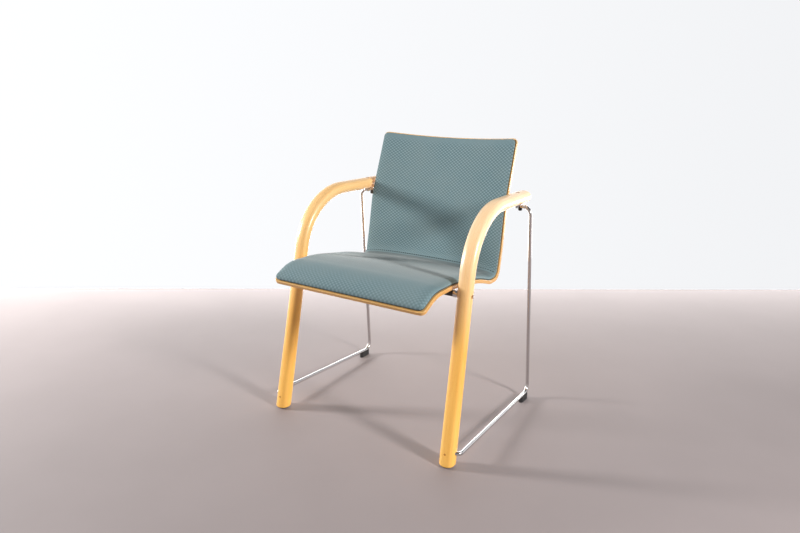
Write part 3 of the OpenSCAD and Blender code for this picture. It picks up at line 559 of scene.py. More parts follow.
def dark_steel():
    """Black-brown lacquered steel with a fine texture."""
    patches, grain = (40.0, 3.0), (900.0, 3.0, 0.6)
    stops = (0.3, (0.035, 0.034, 0.036)), (0.7, (0.065, 0.062, 0.064))
    return grained("dark_steel", (patches, *stops), (grain, 0.34, 0.5), (grain, 0.15, 0.0002),
                   Metallic=0.35)


def zinc():
    """Zinc plating, slightly mottled."""
    spangle, skin = (260.0, 3.0, 0.6), (1500.0, 2.0)
    stops = (0.3, (0.42, 0.43, 0.45)), (0.7, (0.62, 0.62, 0.60))
    return grained("zinc_plate", (spangle, *stops), (spangle, 0.26, 0.42), (skin, 0.08, 0.0001),
                   Metallic=1.0)


def black_plastic():
    """Moulded black plastic with a fine skin and rubbed spots."""
    spots, skin = (90.0, 3.0), (1400.0, 3.0, 0.6)
    stops = (0.35, (0.012, 0.012, 0.013)), (0.75, (0.032, 0.031, 0.033))
    return grained("black_plastic", (spots, *stops), (skin, 0.38, 0.58), (skin, 0.2, 0.0002))


def turned_plug(name, low, high):
    """End grain of a turned wooden plug, with rings and pores."""
    grain = ((1200.0, 260.0, 260.0), 3.0, 0.6)
    return grained(name, (grain, (0.3, low), (0.7, high)), None, (grain, 0.1, 0.0002),
                   Roughness=0.6, Specular_IOR_Level=0.2)


def brown_plug():
    """The plug in the top of an armrest."""
    return turned_plug("brown_plug", (0.16, 0.055, 0.020), (0.30, 0.115, 0.040))


def light_plug():
    """The small plug in the front of a foot."""
    return turned_plug("light_plug", (0.42, 0.18, 0.045), (0.60, 0.28, 0.07))


def pale_floor():
    """Plain pale floor with a very faint mottle."""
    f = Finish("pale_floor", Roughness=0.75)
    shade = settings().chair_stage.floor_colour
    mottle = f.noise(f.object_place(), 2.2, 4.0, 0.55)
    f.set(Base_Color=f.mix(f.share(mottle, 0.35, 0.65), shade, 0.94 * shade))
    return f.material


# Wooden sides


BOTTOM_ROUND = 0.005
END_ROUND = 0.015
END_NARROWING, END_FLATTENING = 0.62, 0.85
SECTION_POWER = 2.2
AROUND = 96
LEG_TAPER = 0.001
NARROWEST_AT, ARM_WIDTH_AT = 0.45, 0.85
WAIST_AT, ARM_DEPTH_AT = 0.42, 0.75
FOOT_RINGS, LEG_RINGS, BEND_RINGS, ARM_RINGS, END_RINGS = 9, 70, 80, 40, 16


class SideLine:
    """Centre line of a wooden side in its own plane: a leaning leg, an arc and the armrest."""

    def __init__(self, s):
        self.s = s
        self.lean_dir = np.array([math.sin(s.leg_lean), math.cos(s.leg_lean)])
        self.arm_dir = np.array([math.cos(s.arm_fall), -math.sin(s.arm_fall)])
        arm_end = np.array([s.arm_reach, s.arm_height])
        turned = self.lean_dir[0] * self.arm_dir[1] - self.lean_dir[1] * self.arm_dir[0]
        meet = (arm_end[0] * self.arm_dir[1] - arm_end[1] * self.arm_dir[0]) / turned
        self.turn = math.pi / 2 - s.leg_lean + s.arm_fall
        cut = s.arm_bend * math.tan(self.turn / 2)
        corner = self.lean_dir * meet
        self.leg_top = corner - self.lean_dir * cut
        self.arm_start = corner + self.arm_dir * cut
        self.centre = self.leg_top + s.arm_bend * np.array([self.lean_dir[1], -self.lean_dir[0]])
        self.leg = float(np.linalg.norm(self.leg_top))
        self.bend = s.arm_bend * self.turn
        self.arm = float(np.linalg.norm(arm_end - self.arm_start))
        self.total = self.leg + self.bend + self.arm

    def turned(self, run):
        """Angle by which the line has turned at a length: the length into the arc / its radius."""
        return np.clip((run - self.leg) / self.s.arm_bend, 0.0, self.turn)

    def at(self, run):
        """Points [y, z] at lengths: the arc's nearest point, and straight on from its ends."""
        a = self.turned(run) + self.s.leg_lean
        arc = self.centre + self.s.arm_bend * np.stack([-np.cos(a), np.sin(a)], -1)
        low = np.minimum(run - self.leg, 0.0)[..., None] * self.lean_dir
        high = np.maximum(run - self.leg - self.bend, 0.0)[..., None] * self.arm_dir
        return arc + low + high

    def slope(self, run):
        """Direction angle of the line from +Y at lengths."""
        return math.pi / 2 - self.s.leg_lean - self.turned(run)

    def unroll(self, y, z):
        """Length and height over the line of the points at [y, z], the inverse of at().

        Beside the arc they are the angle times the radius and the distance from the arc, and
        beside the straight parts the shares of the point in and square to their directions.
        """
        p = np.stack([y, z], -1)
        v, q = p - self.centre, p - self.arm_start
        a = np.arctan2(v[..., 1], -v[..., 0]) - self.s.leg_lean
        places = (a < 0, a > self.turn)
        run = np.select(places, (p @ self.lean_dir, self.leg + self.bend + q @ self.arm_dir),
                        self.leg + np.clip(a, 0.0, self.turn) * self.s.arm_bend)
        over_leg, over_arm = (np.array([-way[1], way[0]]) for way in (self.lean_dir, self.arm_dir))
        height = np.select(places, (p @ over_leg, q @ over_arm),
                           np.linalg.norm(v, axis=-1) - self.s.arm_bend)
        return run, height

    def width(self, t):
        """Width at share t of the length: it tapers up the leg and grows to the arm's."""
        s = self.s
        low = s.leg_bottom - LEG_TAPER * smooth(0.0, NARROWEST_AT, t)
        rise = smooth(NARROWEST_AT, ARM_WIDTH_AT, t)
        return low + (s.arm_width - s.leg_bottom + LEG_TAPER) * rise

    def depth(self, t):
        """Depth at share t of the length: it goes down to the waist's and up to the arm's."""
        s = self.s
        low = s.leg_bottom + (s.leg_waist - s.leg_bottom) * smooth(0.0, WAIST_AT, t)
        return low + (s.arm_thickness - s.leg_waist) * smooth(WAIST_AT, ARM_DEPTH_AT, t)

    def middle_x(self, y, z):
        """X of the side's middle, less with the height and with the way to the rear."""
        return self.s.leg_spread / 2 - self.s.side_lean * z - self.s.side_toe * y


def side_rings(line):
    """Lengths, section scales and section tilts of the rings of a wooden side.

    The bottom edge is a quarter round, the leg, bend and arm run through, and the rear end is
    drawn in along a quarter ellipse. The rings lie level at the foot and turn square to the
    line over the first ninth of the leg.
    """
    s = line.s
    level_parts = 9
    foot = np.linspace(0.0, math.pi / 2, FOOT_RINGS)
    foot_l = DISC_T + BOTTOM_ROUND * (1 - np.cos(foot))
    foot_s = 1 - 2 * BOTTOM_ROUND / s.leg_bottom * (1 - np.sin(foot))
    leg_l = np.linspace(foot_l[-1], line.leg, LEG_RINGS)[1:]
    bend_l = line.leg + line.bend * np.linspace(0.0, 1.0, BEND_RINGS)[1:]
    arm_l = np.linspace(bend_l[-1], line.total - END_ROUND, ARM_RINGS)[1:]
    end = np.linspace(0.0, math.pi / 2, END_RINGS)[1:]
    end_l = line.total - END_ROUND + END_ROUND * np.sin(end)
    body = np.concatenate([leg_l, bend_l, arm_l])
    run = np.concatenate([foot_l, body, end_l])
    wide, deep = (np.concatenate([foot_s, np.ones_like(body), 1 - drawn_in * (1 - np.cos(end))])
                  for drawn_in in (END_NARROWING, END_FLATTENING))
    first = foot_l[-1] + (line.leg - foot_l[-1]) / level_parts
    upright = np.clip((run - foot_l[-1]) / (first - foot_l[-1]), 0.0, 1.0)
    tilt = math.pi / 2 * (1 - upright) + line.slope(run) * upright
    return run, wide, deep, tilt


def side_surface(line, shift):
    """Skin of one wooden side: a rounded section carried along the centre line.

    A section point at angle g is [sign(cos g) |cos g|^(2/p), sign(sin g) |sin g|^(2/p)] with p
    a little over 2, scaled by half the width and half the depth at that length.
    """
    run, wide, deep, tilt = side_rings(line)
    g = np.arange(AROUND) * math.tau / AROUND
    power = 2 / SECTION_POWER
    u = np.sign(np.cos(g)) * np.abs(np.cos(g)) ** power
    v = np.sign(np.sin(g)) * np.abs(np.sin(g)) ** power
    p = line.at(run)
    t = run / line.total
    half_w = line.width(t) * wide / 2
    half_d = line.depth(t) * deep / 2
    x = line.middle_x(p[:, 0], p[:, 1])[:, None] + half_w[:, None] * u
    y = p[:, :1] - half_d[:, None] * v * np.sin(tilt)[:, None] + shift
    z = p[:, 1:] + half_d[:, None] * v * np.cos(tilt)[:, None]
    return closed_tube(np.stack([x, y, z], -1))


def drum(name, axis, centre, start, end, radius, sides=64):
    """Closed cylinder along one axis, a circle at its start and end, used to cut a hole."""
    a = np.arange(sides) * math.tau / sides
    other = [i for i in range(3) if i != axis]
    ring = np.zeros((2, sides, 3))
    ring[..., other[0]] = centre[0] + radius * np.cos(a)
    ring[..., other[1]] = centre[1] + radius * np.sin(a)
    ring[0, :, axis], ring[1, :, axis] = start, end
    return make_mesh(name, *closed_tube(ring))


def block(name, low, high):
    """Closed box between two corners, used to cut a flat."""
    pick = np.array([[x, y, z] for x in (0, 1) for y in (0, 1) for z in (0, 1)])
    points = np.where(pick == 1, np.array(high), np.array(low))
    quads = [[0, 1, 3, 2], [4, 6, 7, 5], [0, 4, 5, 1], [2, 3, 7, 6], [0, 2, 6, 4], [1, 5, 7, 3]]
    return make_mesh(name, points, [np.array(quads)])


def cut_away(piece, cutters):
    """Takes the cutters out of a closed mesh, and removes them."""
    fewest_faces = 100
    for cutter in cutters:
        step = piece.modifiers.new("cut", "BOOLEAN")
        step.operation = "DIFFERENCE"
        step.solver = "MANIFOLD"
        step.object = cutter
    view = bpy.context.evaluated_depsgraph_get()
    cut = bpy.data.meshes.new_from_object(piece.evaluated_get(view))
    if len(cut.polygons) < fewest_faces:
        raise RuntimeError("the cut left " + piece.name + " empty")
    piece.modifiers.clear()
    old, piece.data = piece.data, cut
    bpy.data.meshes.remove(old)
    for cutter in cutters:
        used = cutter.data
        bpy.data.objects.remove(cutter)
        bpy.data.meshes.remove(used)


def middle(node, *axes):
    """Middle of a node's box along the given axes."""
    low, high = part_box(node)
    return [(low[a] + high[a]) / 2 for a in axes]


def side_cutters():
    """Holes of the left side: bolt recess, sleeve seat, plug hole, lock hole and tongue flat."""
    bolt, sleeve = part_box("leg_bolt_left")[1].x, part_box("sleeve_left")[1].x
    plug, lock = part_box("arm_plug_left"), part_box("lock_plug_left")
    low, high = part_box("tongue_left")
    head, past, clear = 0.005, 0.05, 0.0001
    recess, seat = 0.0055, 0.0095
    beside, ahead, behind = 0.001, 0.003, 0.005
    return [
        drum("cut_recess", 0, middle("leg_bolt_left", 1, 2), bolt - head, bolt + past, recess),
        drum("cut_sleeve", 0, middle("sleeve_left", 1, 2), sleeve - past, sleeve + clear, seat),
        drum("cut_plug", 2, middle("arm_plug_left", 0, 1), plug[0].z, plug[1].z + past,
             (plug[1].x - plug[0].x) / 2 + clear),
        drum("cut_lock", 1, middle("lock_plug_left", 0, 2), lock[0].y - past, lock[1].y,
             (lock[1].x - lock[0].x) / 2 + clear),
        block("cut_flat", (low.x - beside, low.y - ahead, high.z + clear - past),
              (high.x + beside, high.y + behind, high.z + clear)),
    ]


class CHAIR_OT_sides(Operator):
    """Two bent wooden sides, each a leg that runs back as the armrest"""

    bl_idname = "chair.sides"
    bl_label = "Wooden sides"

    def execute(self, context):
        line = SideLine(context.scene.chair_sides)
        shift = rear_shift()
        points, faces = side_surface(line, shift)
        left = make_mesh("wooden_side_left", points, faces)
        cut_away(left, side_cutters())
        right = put("wooden_side_right", left.data.copy())
        other_blank, sharp = 0.2, 40
        for piece, node in ((left, "side_left"), (right, "side_right")):
            at = mesh_points(piece)
            run, height = line.unroll(at[:, 1] - shift, at[:, 2])
            across = at[:, 0] - line.middle_x(at[:, 1] - shift, at[:, 2])
            if piece == right:
                across = across + other_blank
                at[:, 0] *= -1
                piece.data.vertices.foreach_set("co", at.astype(np.float32).reshape(-1))
                piece.data.flip_normals()
            give_vector(piece, "blank", np.stack([across, height, run], -1))
            piece.data.shade_smooth()
            piece.data.set_sharp_from_angle(angle=math.radians(sharp))
            finish_piece(piece, finish(beech), "beech", node)
        return {"FINISHED"}


# Plywood shell


SHELL_GRID = 241, 101, 0.9
PROFILE_POINTS, ARC_POINTS = 4001, 49


class ShellForm:
    """The shell as a function of length q from the lip and place w across, from -1 to 1.

    Its side view is a line through corners (y, z, radius), each rounded by an arc. The
    direction along the line is averaged over a short window, so that the faces bend softly.
    """

    def __init__(self, s, sides, shift):
        self.s, self.shift = s, shift
        rear = s.seat_height - s.rear_drop
        lip_run, lip_rise = 0.058, 0.0012
        middle_y, middle_rise = 0.095, 0.0005
        slope_y, slope_drop = 0.240, 0.022
        dip_run = 0.0545
        loin_lean, loin_height = 0.0195, 0.088
        blade_lean, blade_height = 0.0385, 0.202
        foot = s.seat_depth
        corners = [
            (-s.lip_reach, s.seat_height - s.lip_drop, 0.0),
            (lip_run - s.lip_reach, s.seat_height + lip_rise, 0.100),
            (middle_y, s.seat_height + middle_rise, 0.300),
            (slope_y, s.seat_height - slope_drop, 0.500),
            (foot - dip_run, rear, 0.060),
            (foot, rear, 0.034),
            (foot + loin_lean, rear + loin_height, 0.260),
            (foot + blade_lean, rear + blade_height, 0.240),
            (foot + s.back_rake, s.top_height, 0.0),
        ]
        line, self.seam = self.rounded(np.array(corners), seam_corner=5)
        run = lengths_along(line)
        self.total = float(run[-1])
        self.run = np.linspace(0.0, self.total, PROFILE_POINTS)
        self.line = at_lengths(self.run, run, line)
        soft = np.gradient(self.line, self.run, axis=0)
        window = 41
        kernel = np.hanning(window)[:, None] / np.hanning(window).sum()
        padded = np.pad(soft, ((window // 2, window // 2), (0, 0)), mode="edge")
        self.tangent = unit(sum(padded[k:k + len(soft)] * kernel[k] for k in range(window)))
        self.seat_half = sides.leg_spread / 2 - s.side_in
        self.waist_half = self.seat_half - s.waist_in
        self.top_half = self.seat_half - s.top_in

    @staticmethod
    def rounded(corners, seam_corner):
        """Polyline with an arc at each inner corner, and the length just past one arc's middle."""
        past_middle = 0.002
        out, seam, run = [corners[0, :2]], 0.0, 0.0
        for k in range(1, len(corners) - 1):
            a, b, c = corners[k - 1, :2], corners[k, :2], corners[k + 1, :2]
            u, v = unit(b - a), unit(c - b)
            turn = math.acos(float(np.clip(u @ v, -1, 1)))
            side = math.copysign(1.0, u[0] * v[1] - u[1] * v[0])
            r = corners[k, 2]
            start = b - u * r * math.tan(turn / 2)
            centre = start + side * r * np.array([-u[1], u[0]])
            g = side * turn * np.linspace(0.0, 1.0, ARC_POINTS)
            d = start - centre
            arc = centre + np.stack([d[0] * np.cos(g) - d[1] * np.sin(g),
                                     d[0] * np.sin(g) + d[1] * np.cos(g)], -1)
            run += float(np.linalg.norm(start - out[-1]))
            if k == seam_corner:
                seam = run + r * turn / 2 + past_middle
            run += r * turn
            out.extend(arc)
        out.append(corners[-1, :2])
        return np.array(out), seam

    def hollow(self, q):
        """How far the middle lies behind the edges: a smooth step on the seat, one on the back."""
        seat_from, seat_full = 0.170, 0.300
        back_from, back_full = self.seam - 0.020, self.seam + 0.170
        seat = self.s.seat_hollow * smooth(seat_from, seat_full, q)
        rise = smooth(back_from, back_full, q)
        return seat + (self.s.back_hollow - self.s.seat_hollow) * rise

    def half(self, q):
        """Half the width at length q: smooth steps from the front's to the waist's and top's."""
        straight = 0.060
        low = self.seat_half + (self.waist_half - self.seat_half) * smooth(straight, self.seam, q)
        rise = smooth(self.seam + straight, self.total + straight, q)
        return np.where(q < self.seam, low,
                        self.waist_half + (self.top_half - self.waist_half) * rise)

    def point(self, q, w, lift):
        """Surface point: the profile moved back by the hollow and forward by the lift.

        The hollow is full in the middle and falls to nothing with the square of w.
        """
        y, z, ty, tz = (np.interp(q, self.run, values[:, k])
                        for values in (self.line, self.tangent) for k in (0, 1))
        back = self.hollow(q) * (1 - w * w) - lift
        return np.stack([w * self.half(q), y + tz * back + self.shift, z - ty * back], -1)


def shell_form():
    """The shell's form from the scene's sizes."""
    return ShellForm(settings().chair_shell, settings().chair_sides, rear_shift())


def nip(radius, d):
    """How much a rounded corner takes off the half width at distance d from an end.

    It is the radius less the root of radius² - (radius - d)², and 0 past the radius.
    """
    return np.where(d >= radius, 0.0,
                    radius - np.sqrt(np.maximum(0.0, radius ** 2 - (radius - d) ** 2)))


def spread(n, crowd):
    """Places from -1 to 1, closer together towards both ends: a stretch of a sine."""
    t = np.linspace(-1.0, 1.0, n) * math.pi / 2 * crowd
    return np.sin(t) / math.sin(math.pi / 2 * crowd)


def rim_order(rows, cols):
    """Point numbers round the border of a grid, once round."""
    r, c = np.arange(rows), np.arange(cols)
    return np.concatenate([c, r[1:] * cols + cols - 1, (rows - 1) * cols + c[::-1][1:],
                           (r[::-1][1:-1]) * cols])


def plate(form, q_low, q_high, corners, lifts, insets, rows, cols, crowd, cover=None):
    """Closed slab over a part of the shell: two grids and the rim loops between them.

    A grid's places across are narrowed by its inset and by what the corners take off.
    lifts and insets go together from the lower face over the rim to the upper face. crowd is
    the share of a quarter turn that crowds the rows and columns towards the edges. cover is
    a function of the upper face's lengths and places across that gives its points and lifts.
    The slab's points are given with their places: distance across, length and lift.
    """
    front, rear = corners
    f = (spread(rows, crowd)[:, None] + 1) / 2
    w = spread(cols, crowd)[None] * np.ones_like(f)
    grids = []
    last = len(lifts) - 1
    for k, (lift, inset) in enumerate(zip(lifts, insets)):
        q = q_low + inset + (q_high - q_low - 2 * inset) * f * np.ones_like(w)
        taken = np.maximum(nip(front - inset, q - q_low - inset),
                           nip(rear - inset, q_high - inset - q))
        half = form.half(q)
        w_in = w * (1 - (inset + taken) / half)
        deep = np.full_like(q, lift)
        if cover is not None and k == last:
            layer, deep = cover(q, w, w_in)
        else:
            layer = form.point(q, w_in, deep)
        place = np.stack([w_in * half, q, deep], -1)
        grids.append(np.concatenate([layer, place], -1).reshape(-1, 6))
    rim = rim_order(rows, cols)
    both = np.concatenate([grids[0], *(grid[rim] for grid in grids[1:-1]), grids[-1]])
    loops = [rim] + [rows * cols + i * len(rim) + np.arange(len(rim)) for i in range(last - 1)]
    top = rows * cols + (last - 1) * len(rim)
    loops.append(top + rim)
    walls = [np.stack([a, np.roll(a, -1), np.roll(b, -1), b], -1)
             for a, b in zip(loops[:-1], loops[1:])]
    low, high = grid_quads(rows, cols)[:, ::-1], grid_quads(rows, cols) + top
    return both[:, :3], [np.concatenate([low, high] + walls)], both[:, 3:]


class CHAIR_OT_shell(Operator):
    """Moulded plywood shell, seat and back in one, with broken edges"""

    bl_idname = "chair.shell"
    bl_label = "Plywood shell"

    def execute(self, context):
        s = context.scene.chair_shell
        form = shell_form()
        arris, arris_loops, wall_loops = 0.0011, 5, 4
        g = np.linspace(0.0, math.pi / 2, arris_loops)
        wall = np.linspace(arris, s.thickness - arris, wall_loops + 2)[1:-1]
        lifts = np.concatenate([arris * (1 - np.cos(g)), wall,
                                s.thickness - arris * (1 - np.sin(g))])
        insets = np.concatenate([arris * (1 - np.sin(g)), np.zeros(wall_loops),
                                 arris * (1 - np.cos(g))])
        points, faces, about = plate(form, 0.0, form.total, (s.corner, s.corner), lifts, insets,
                                     *SHELL_GRID)
        piece = make_mesh("plywood_shell", points, faces)
        give_vector(piece, "sheet", about)
        finish_piece(piece, finish(plywood), "plywood", "ply_shell")
        return {"FINISHED"}


# Pads


SEAM_UP = 0.002
ARC_REACH = 0.090
SEAM_ROLL = 0.0016
PAD_GRID = 161, 129, 0.94


class PadForm:
    """Both pads' skin over the shell, with the bare border left free and the seam in an arc.

    Over the bend the cloth leaves the shell's curve. From cove_run before the seam to cove_run
    behind it, the skin is a cubic curve with the directions it has at both ends, and the curve
    fades into the shell's own bend towards the sides as the sixth power of the place across.
    """

    def __init__(self, form, s):
        self.form, self.s = form, s
        self.base = form.s.thickness + PAD_GAP
        self.seam = form.seam

    def half(self, q):
        """Half the width at length q: the shell's less the border."""
        return self.form.half(q) - self.s.border

    def arc(self, w):
        """How far the seam is moved up the back: least at the sides, by the eighth power."""
        return SEAM_UP + self.s.seam_arc * (1 - np.abs(w) ** 8)

    def arced(self, q, w):
        """Lengths moved up the back by the seam's arc, which fades away from the seam."""
        return q + self.arc(w) * (1 - smooth(0.0, ARC_REACH, np.abs(q - self.seam)))

    def skin(self, q, w, lift):
        """Shell's point at a place across the pad's own width, with a lift."""
        wide = w * self.half(q) / self.form.half(q)
        return self.form.point(q, wide, lift)

    def point(self, q, w, lift):
        """Point of the skin at a length that the seam's arc has moved."""
        return self.skin(self.arced(q, w), w, lift)

    def raised(self, d, middle):
        """Thickness at a distance from the rim: a quarter ellipse up to the middle's."""
        return self.s.edge + (middle - self.s.edge) * quarter(d, self.s.shoulder)

    def crown(self, q, w):
        """Filling of the dip ahead of the seam: a smooth step, less with the square across."""
        start, full = self.seam - 0.200, self.seam - 0.060
        return self.s.seat_crown * smooth(start, full, q) * (1 - w * w)

    def fold(self, q, w):
        """Depth of the faint fold in the back's middle: a bell curve across, fading downwards."""
        deepest, off_middle, width, start, full = 0.0009, 0.006, 0.0045, 0.150, 0.050
        across = w * self.half(q) - off_middle
        top = self.form.total - self.s.border
        return deepest * np.exp(-((across / width) ** 2)) * smooth(top - start, top - full, q)

    def use(self, about, seat):
        """Shares of flattened weave, painted sheen and painted shade, from the places on the pad.

        The weave is flat near the seam, at the back's top rim and behind the seat's front. The
        seat's top is painted lighter as its sheen, and the crease behind it, which ends just ahead
        of the seam, is painted darker as its shade; both are on the seat only and fade with the
        sixth and the twentieth power of the place across.
        """
        s, across, q = self.s, about[:, 0], about[:, 1]
        if not seat:
            top = self.form.total - s.border
            at_seam = 1 - smooth(0.010, 0.018, q - self.seam)
            at_top = smooth(top - 0.030, top - 0.006, q)
            return np.stack([np.maximum(at_seam, at_top), 0 * q, 0 * q], -1)
        front_flat, rear_flat, most_sheen, most_shade = 0.45, 0.5, 0.5, 0.6
        fade_in, fade_out, shade_start, shade_end = 0.090, 0.130, -0.020, -0.010
        flat = front_flat + rear_flat * smooth(s.sheen_from - 0.030, s.sheen_from + 0.020, q)
        rear = smooth(self.seam - s.sheen_end, self.seam - s.sheen_end + fade_out, q)
        out = np.abs(across) / self.half(q)
        # Painted sheen: the seat's top is painted lighter grey.
        painted_sheen = smooth(s.sheen_from, s.sheen_from + fade_in, q) * (1 - rear) * (1 - out ** 6)
        # Painted shade: the seat's rear up to just ahead of the seam is painted darker grey.
        crease_shade = rear * (1 - out ** 20) * (1 - smooth(shade_start, shade_end, q - self.seam))
        return np.stack([flat, most_sheen * painted_sheen, most_shade * crease_shade], -1)

    def bridged(self, q, w, points):
        """The points of the skin near the bend, moved onto the bridging curve.

        The curve at share f is g³a + 3g²fc + 3gf²d + f³b, with g = 1 - f, a and b its ends, and
        c and d the points that lie ahead of the ends by cove_pull of the distance between them.
        """
        s, seam = self.s, self.seam
        d = (1 - np.abs(w)) * self.half(seam)
        fall = s.side_fall * w * w
        filled = s.seat_thickness + self.crown(seam - s.cove_run, w)
        low = self.base + self.raised(d, filled - fall)
        high = self.base + self.raised(d, s.back_thickness - fall)
        step = 0.002
        a, before = (self.skin(np.full_like(w, seam - s.cove_run - k), w, low)
                     for k in (0.0, step))
        b, behind = (self.skin(np.full_like(w, seam + s.cove_run + k), w, high)
                     for k in (0.0, step))
        reach = s.cove_pull * np.linalg.norm(b - a, axis=-1, keepdims=True)
        c, d = a + unit(a - before) * reach, b - unit(behind - b) * reach
        f = np.clip((q - seam + s.cove_run) / (2 * s.cove_run), 0.0, 1.0)[..., None]
        g = 1 - f
        curve = g ** 3 * a + 3 * g * g * f * c + 3 * g * f * f * d + f ** 3 * b
        curve[..., 0] = points[..., 0]
        share = np.where(np.abs(q - seam) < s.cove_run, 1 - np.abs(w) ** 6, 0.0)[..., None]
        return points * (1 - share) + curve * share


def rolled(points, d, radius):
    """Turns the skin in at the seam: it sinks by a quarter circle over the last stretch."""
    along = unit(np.gradient(points, axis=0))
    back = np.stack([np.zeros_like(d), along[..., 2], -along[..., 1]], -1)
    return points + back * radius * (1 - quarter(d, radius))[..., None]


def between(values, places, count):
    """Values at 0 to count - 1 on straight lines between the values at rising places."""
    n = np.arange(count)
    i = np.clip(np.searchsorted(places, n, side="right") - 1, 0, len(places) - 2)
    f = ((n - places[i]) / (places[i + 1] - places[i])).reshape(-1, 1, 1)
    return values[i] * (1 - f) + values[i + 1] * f


def settled(points, s):
    """Upper face of a pad after a short cloth simulation under the pressure of its filling.

    A sheet of every few rows and columns is held along its rim. Its moves are scaled until
    the longest is give, carried to the points between, and averaged with their neighbours.
    """
    rows, cols = points.shape[:2]
    sheet_rows, sheet_cols, last_frame, rounds = 41, 33, 20, 6
    r = np.linspace(0, rows - 1, sheet_rows).round().astype(int)
    c = np.linspace(0, cols - 1, sheet_cols).round().astype(int)
    start = points[np.ix_(r, c)].reshape(-1, 3)
    quads = [grid_quads(len(r), len(c))]
    outwards = 1 if volume(start, quads) >= 0 else -1
    sheet = make_mesh("blown_sheet", start, quads)
    rim = sheet.vertex_groups.new(name="rim")
    rim.add(rim_order(len(r), len(c)).tolist(), 1.0, "REPLACE")
    cloth = sheet.modifiers.new("cloth", "CLOTH")
    cloth.settings.vertex_group_mass = rim.name
    cloth.settings.use_pressure = True
    cloth.settings.uniform_pressure_force = outwards * s.pressure
    cloth.settings.effector_weights.gravity = 0.0
    cloth.collision_settings.use_collision = False
    cloth.point_cache.frame_end = last_frame
    for moment in range(1, last_frame + 1):
        settings().frame_set(moment)
    blown = mesh_points(sheet.evaluated_get(bpy.context.evaluated_depsgraph_get()))
    settings().frame_set(1)
    mesh = sheet.data
    bpy.data.objects.remove(sheet)
    bpy.data.meshes.remove(mesh)
    moves = (blown - start).reshape(len(r), len(c), 3)
    moves *= s.give / max(s.give, np.linalg.norm(moves, axis=-1).max())
    fine = between(between(moves, r, rows).swapaxes(0, 1), c, cols).swapaxes(0, 1)
    for _ in range(rounds):
        fine[1:-1] = (fine[:-2] + 2 * fine[1:-1] + fine[2:]) / 4
        fine[:, 1:-1] = (fine[:, :-2] + 2 * fine[:, 1:-1] + fine[:, 2:]) / 4
    return points + fine


def make_pad(name, pad, low, high, corners, middle, extra, node):
    """A sewn pad: rim tucked under, upright edge, and a crowned upper face.

    The upper face's thickness is the middle's, less a fall with the square of the place
    across, and drops to the edge's in a quarter ellipse along every rim but the seam.
    """
    s = pad.s
    round_loops, lip_end, lip_fade = 6, 0.030, 0.110
    tuck, round_over, upright_from, upright_to = 0.0022, 0.0020, 0.0014, 0.0044
    g = np.linspace(0.0, math.pi / 2, round_loops)
    lifts = np.concatenate([[0.0], upright_from + round_over * (1 - np.cos(g)),
                            [upright_to, s.edge]])
    insets = np.concatenate([[tuck], tuck * (1 - np.sin(g)), [0.0, 0.0]])
    seat = node == "seat_pad"

    def cover(q, w, w_in):
        seam_d = high - q if seat else q - low
        open_d = q - low if seat else high - q
        d = np.maximum(0.0, np.minimum((1 - np.abs(w)) * pad.half(q), open_d))
        peak = middle + extra * (1 - smooth(lip_end, lip_fade, q)) - s.side_fall * w * w
        peak = peak + (pad.crown(q, w) if seat else -pad.fold(q, w))
        lift = pad.base + pad.raised(d, peak)
        points = pad.bridged(pad.arced(q, w), w_in, pad.point(q, w_in, lift))
        points = settled(points, s)
        return rolled(points, seam_d, SEAM_ROLL), lift

    points, faces, about = plate(pad, low, high, corners, pad.base + lifts, insets, *PAD_GRID,
                                 cover)
    piece = make_mesh(name, points, faces)
    give_vector(piece, "weave", about)
    give_vector(piece, "use", pad.use(about, seat))
    finish_piece(piece, finish(cloth), "cloth", node)


def stitches(pad):
    """Row of thread stitches in the seam.

    Each is a spindle on the skin's line at the seam: a ring at each place t along it, from -1
    to 1, whose radius falls from the thread's own at the middle to a quarter at both ends.
    """
    s = pad.s
    end, eye, reach, lifted = 0.985, 0.0005, 0.29 * s.stitch_pitch, 0.3 * s.thread
    line_points, around = 801, 8
    w = np.linspace(-end, end, line_points)
    q = pad.seam + pad.arc(w)
    d = (1 - np.abs(w)) * pad.half(pad.seam)
    fall = s.side_fall * w * w
    lift = pad.base + pad.raised(d, s.seat_thickness - fall)
    line = pad.bridged(q, w, pad.skin(q, w, lift))
    run = lengths_along(line)
    count = int(run[-1] / s.stitch_pitch)
    mids = (np.arange(count) + 0.5) * run[-1] / count
    centre, ahead, back = (at_lengths(mids + k, run, line) for k in (0.0, eye, -eye))
    along = unit(ahead - back)
    side = unit(np.cross(along, np.array([0.0, -0.6, 0.8])))
    over = np.cross(side, along)
    t = np.array([-1.0, -0.85, -0.5, 0.0, 0.5, 0.85, 1.0])
    radius = s.thread / 2 * np.array([0.25, 0.7, 0.95, 1.0, 0.95, 0.7, 0.25])
    g = np.arange(around) * math.tau / around
    ring = np.cos(g)[:, None, None] * side + np.sin(g)[:, None, None] * over
    points = (centre + over * lifted + along * reach * t[:, None, None, None]
              + ring * radius[:, None, None, None])
    points = np.moveaxis(points, 2, 0).reshape(count, -1, 3)
    quads = grid_quads(len(t), around, around=True)
    first, last = np.arange(around), (len(t) - 1) * around + np.arange(around)
    cap = np.array([[0, 1, 2, 3], [0, 3, 4, 5], [0, 5, 6, 7]])
    each = np.concatenate([quads, first[cap[:, [0, 3, 2, 1]]], last[cap]])
    faces = (each[None] + np.arange(count)[:, None, None] * points.shape[1]).reshape(-1, 4)
    piece = make_mesh("seam_stitches", points.reshape(-1, 3), [faces])
    finish_piece(piece, finish(thread), "cloth")


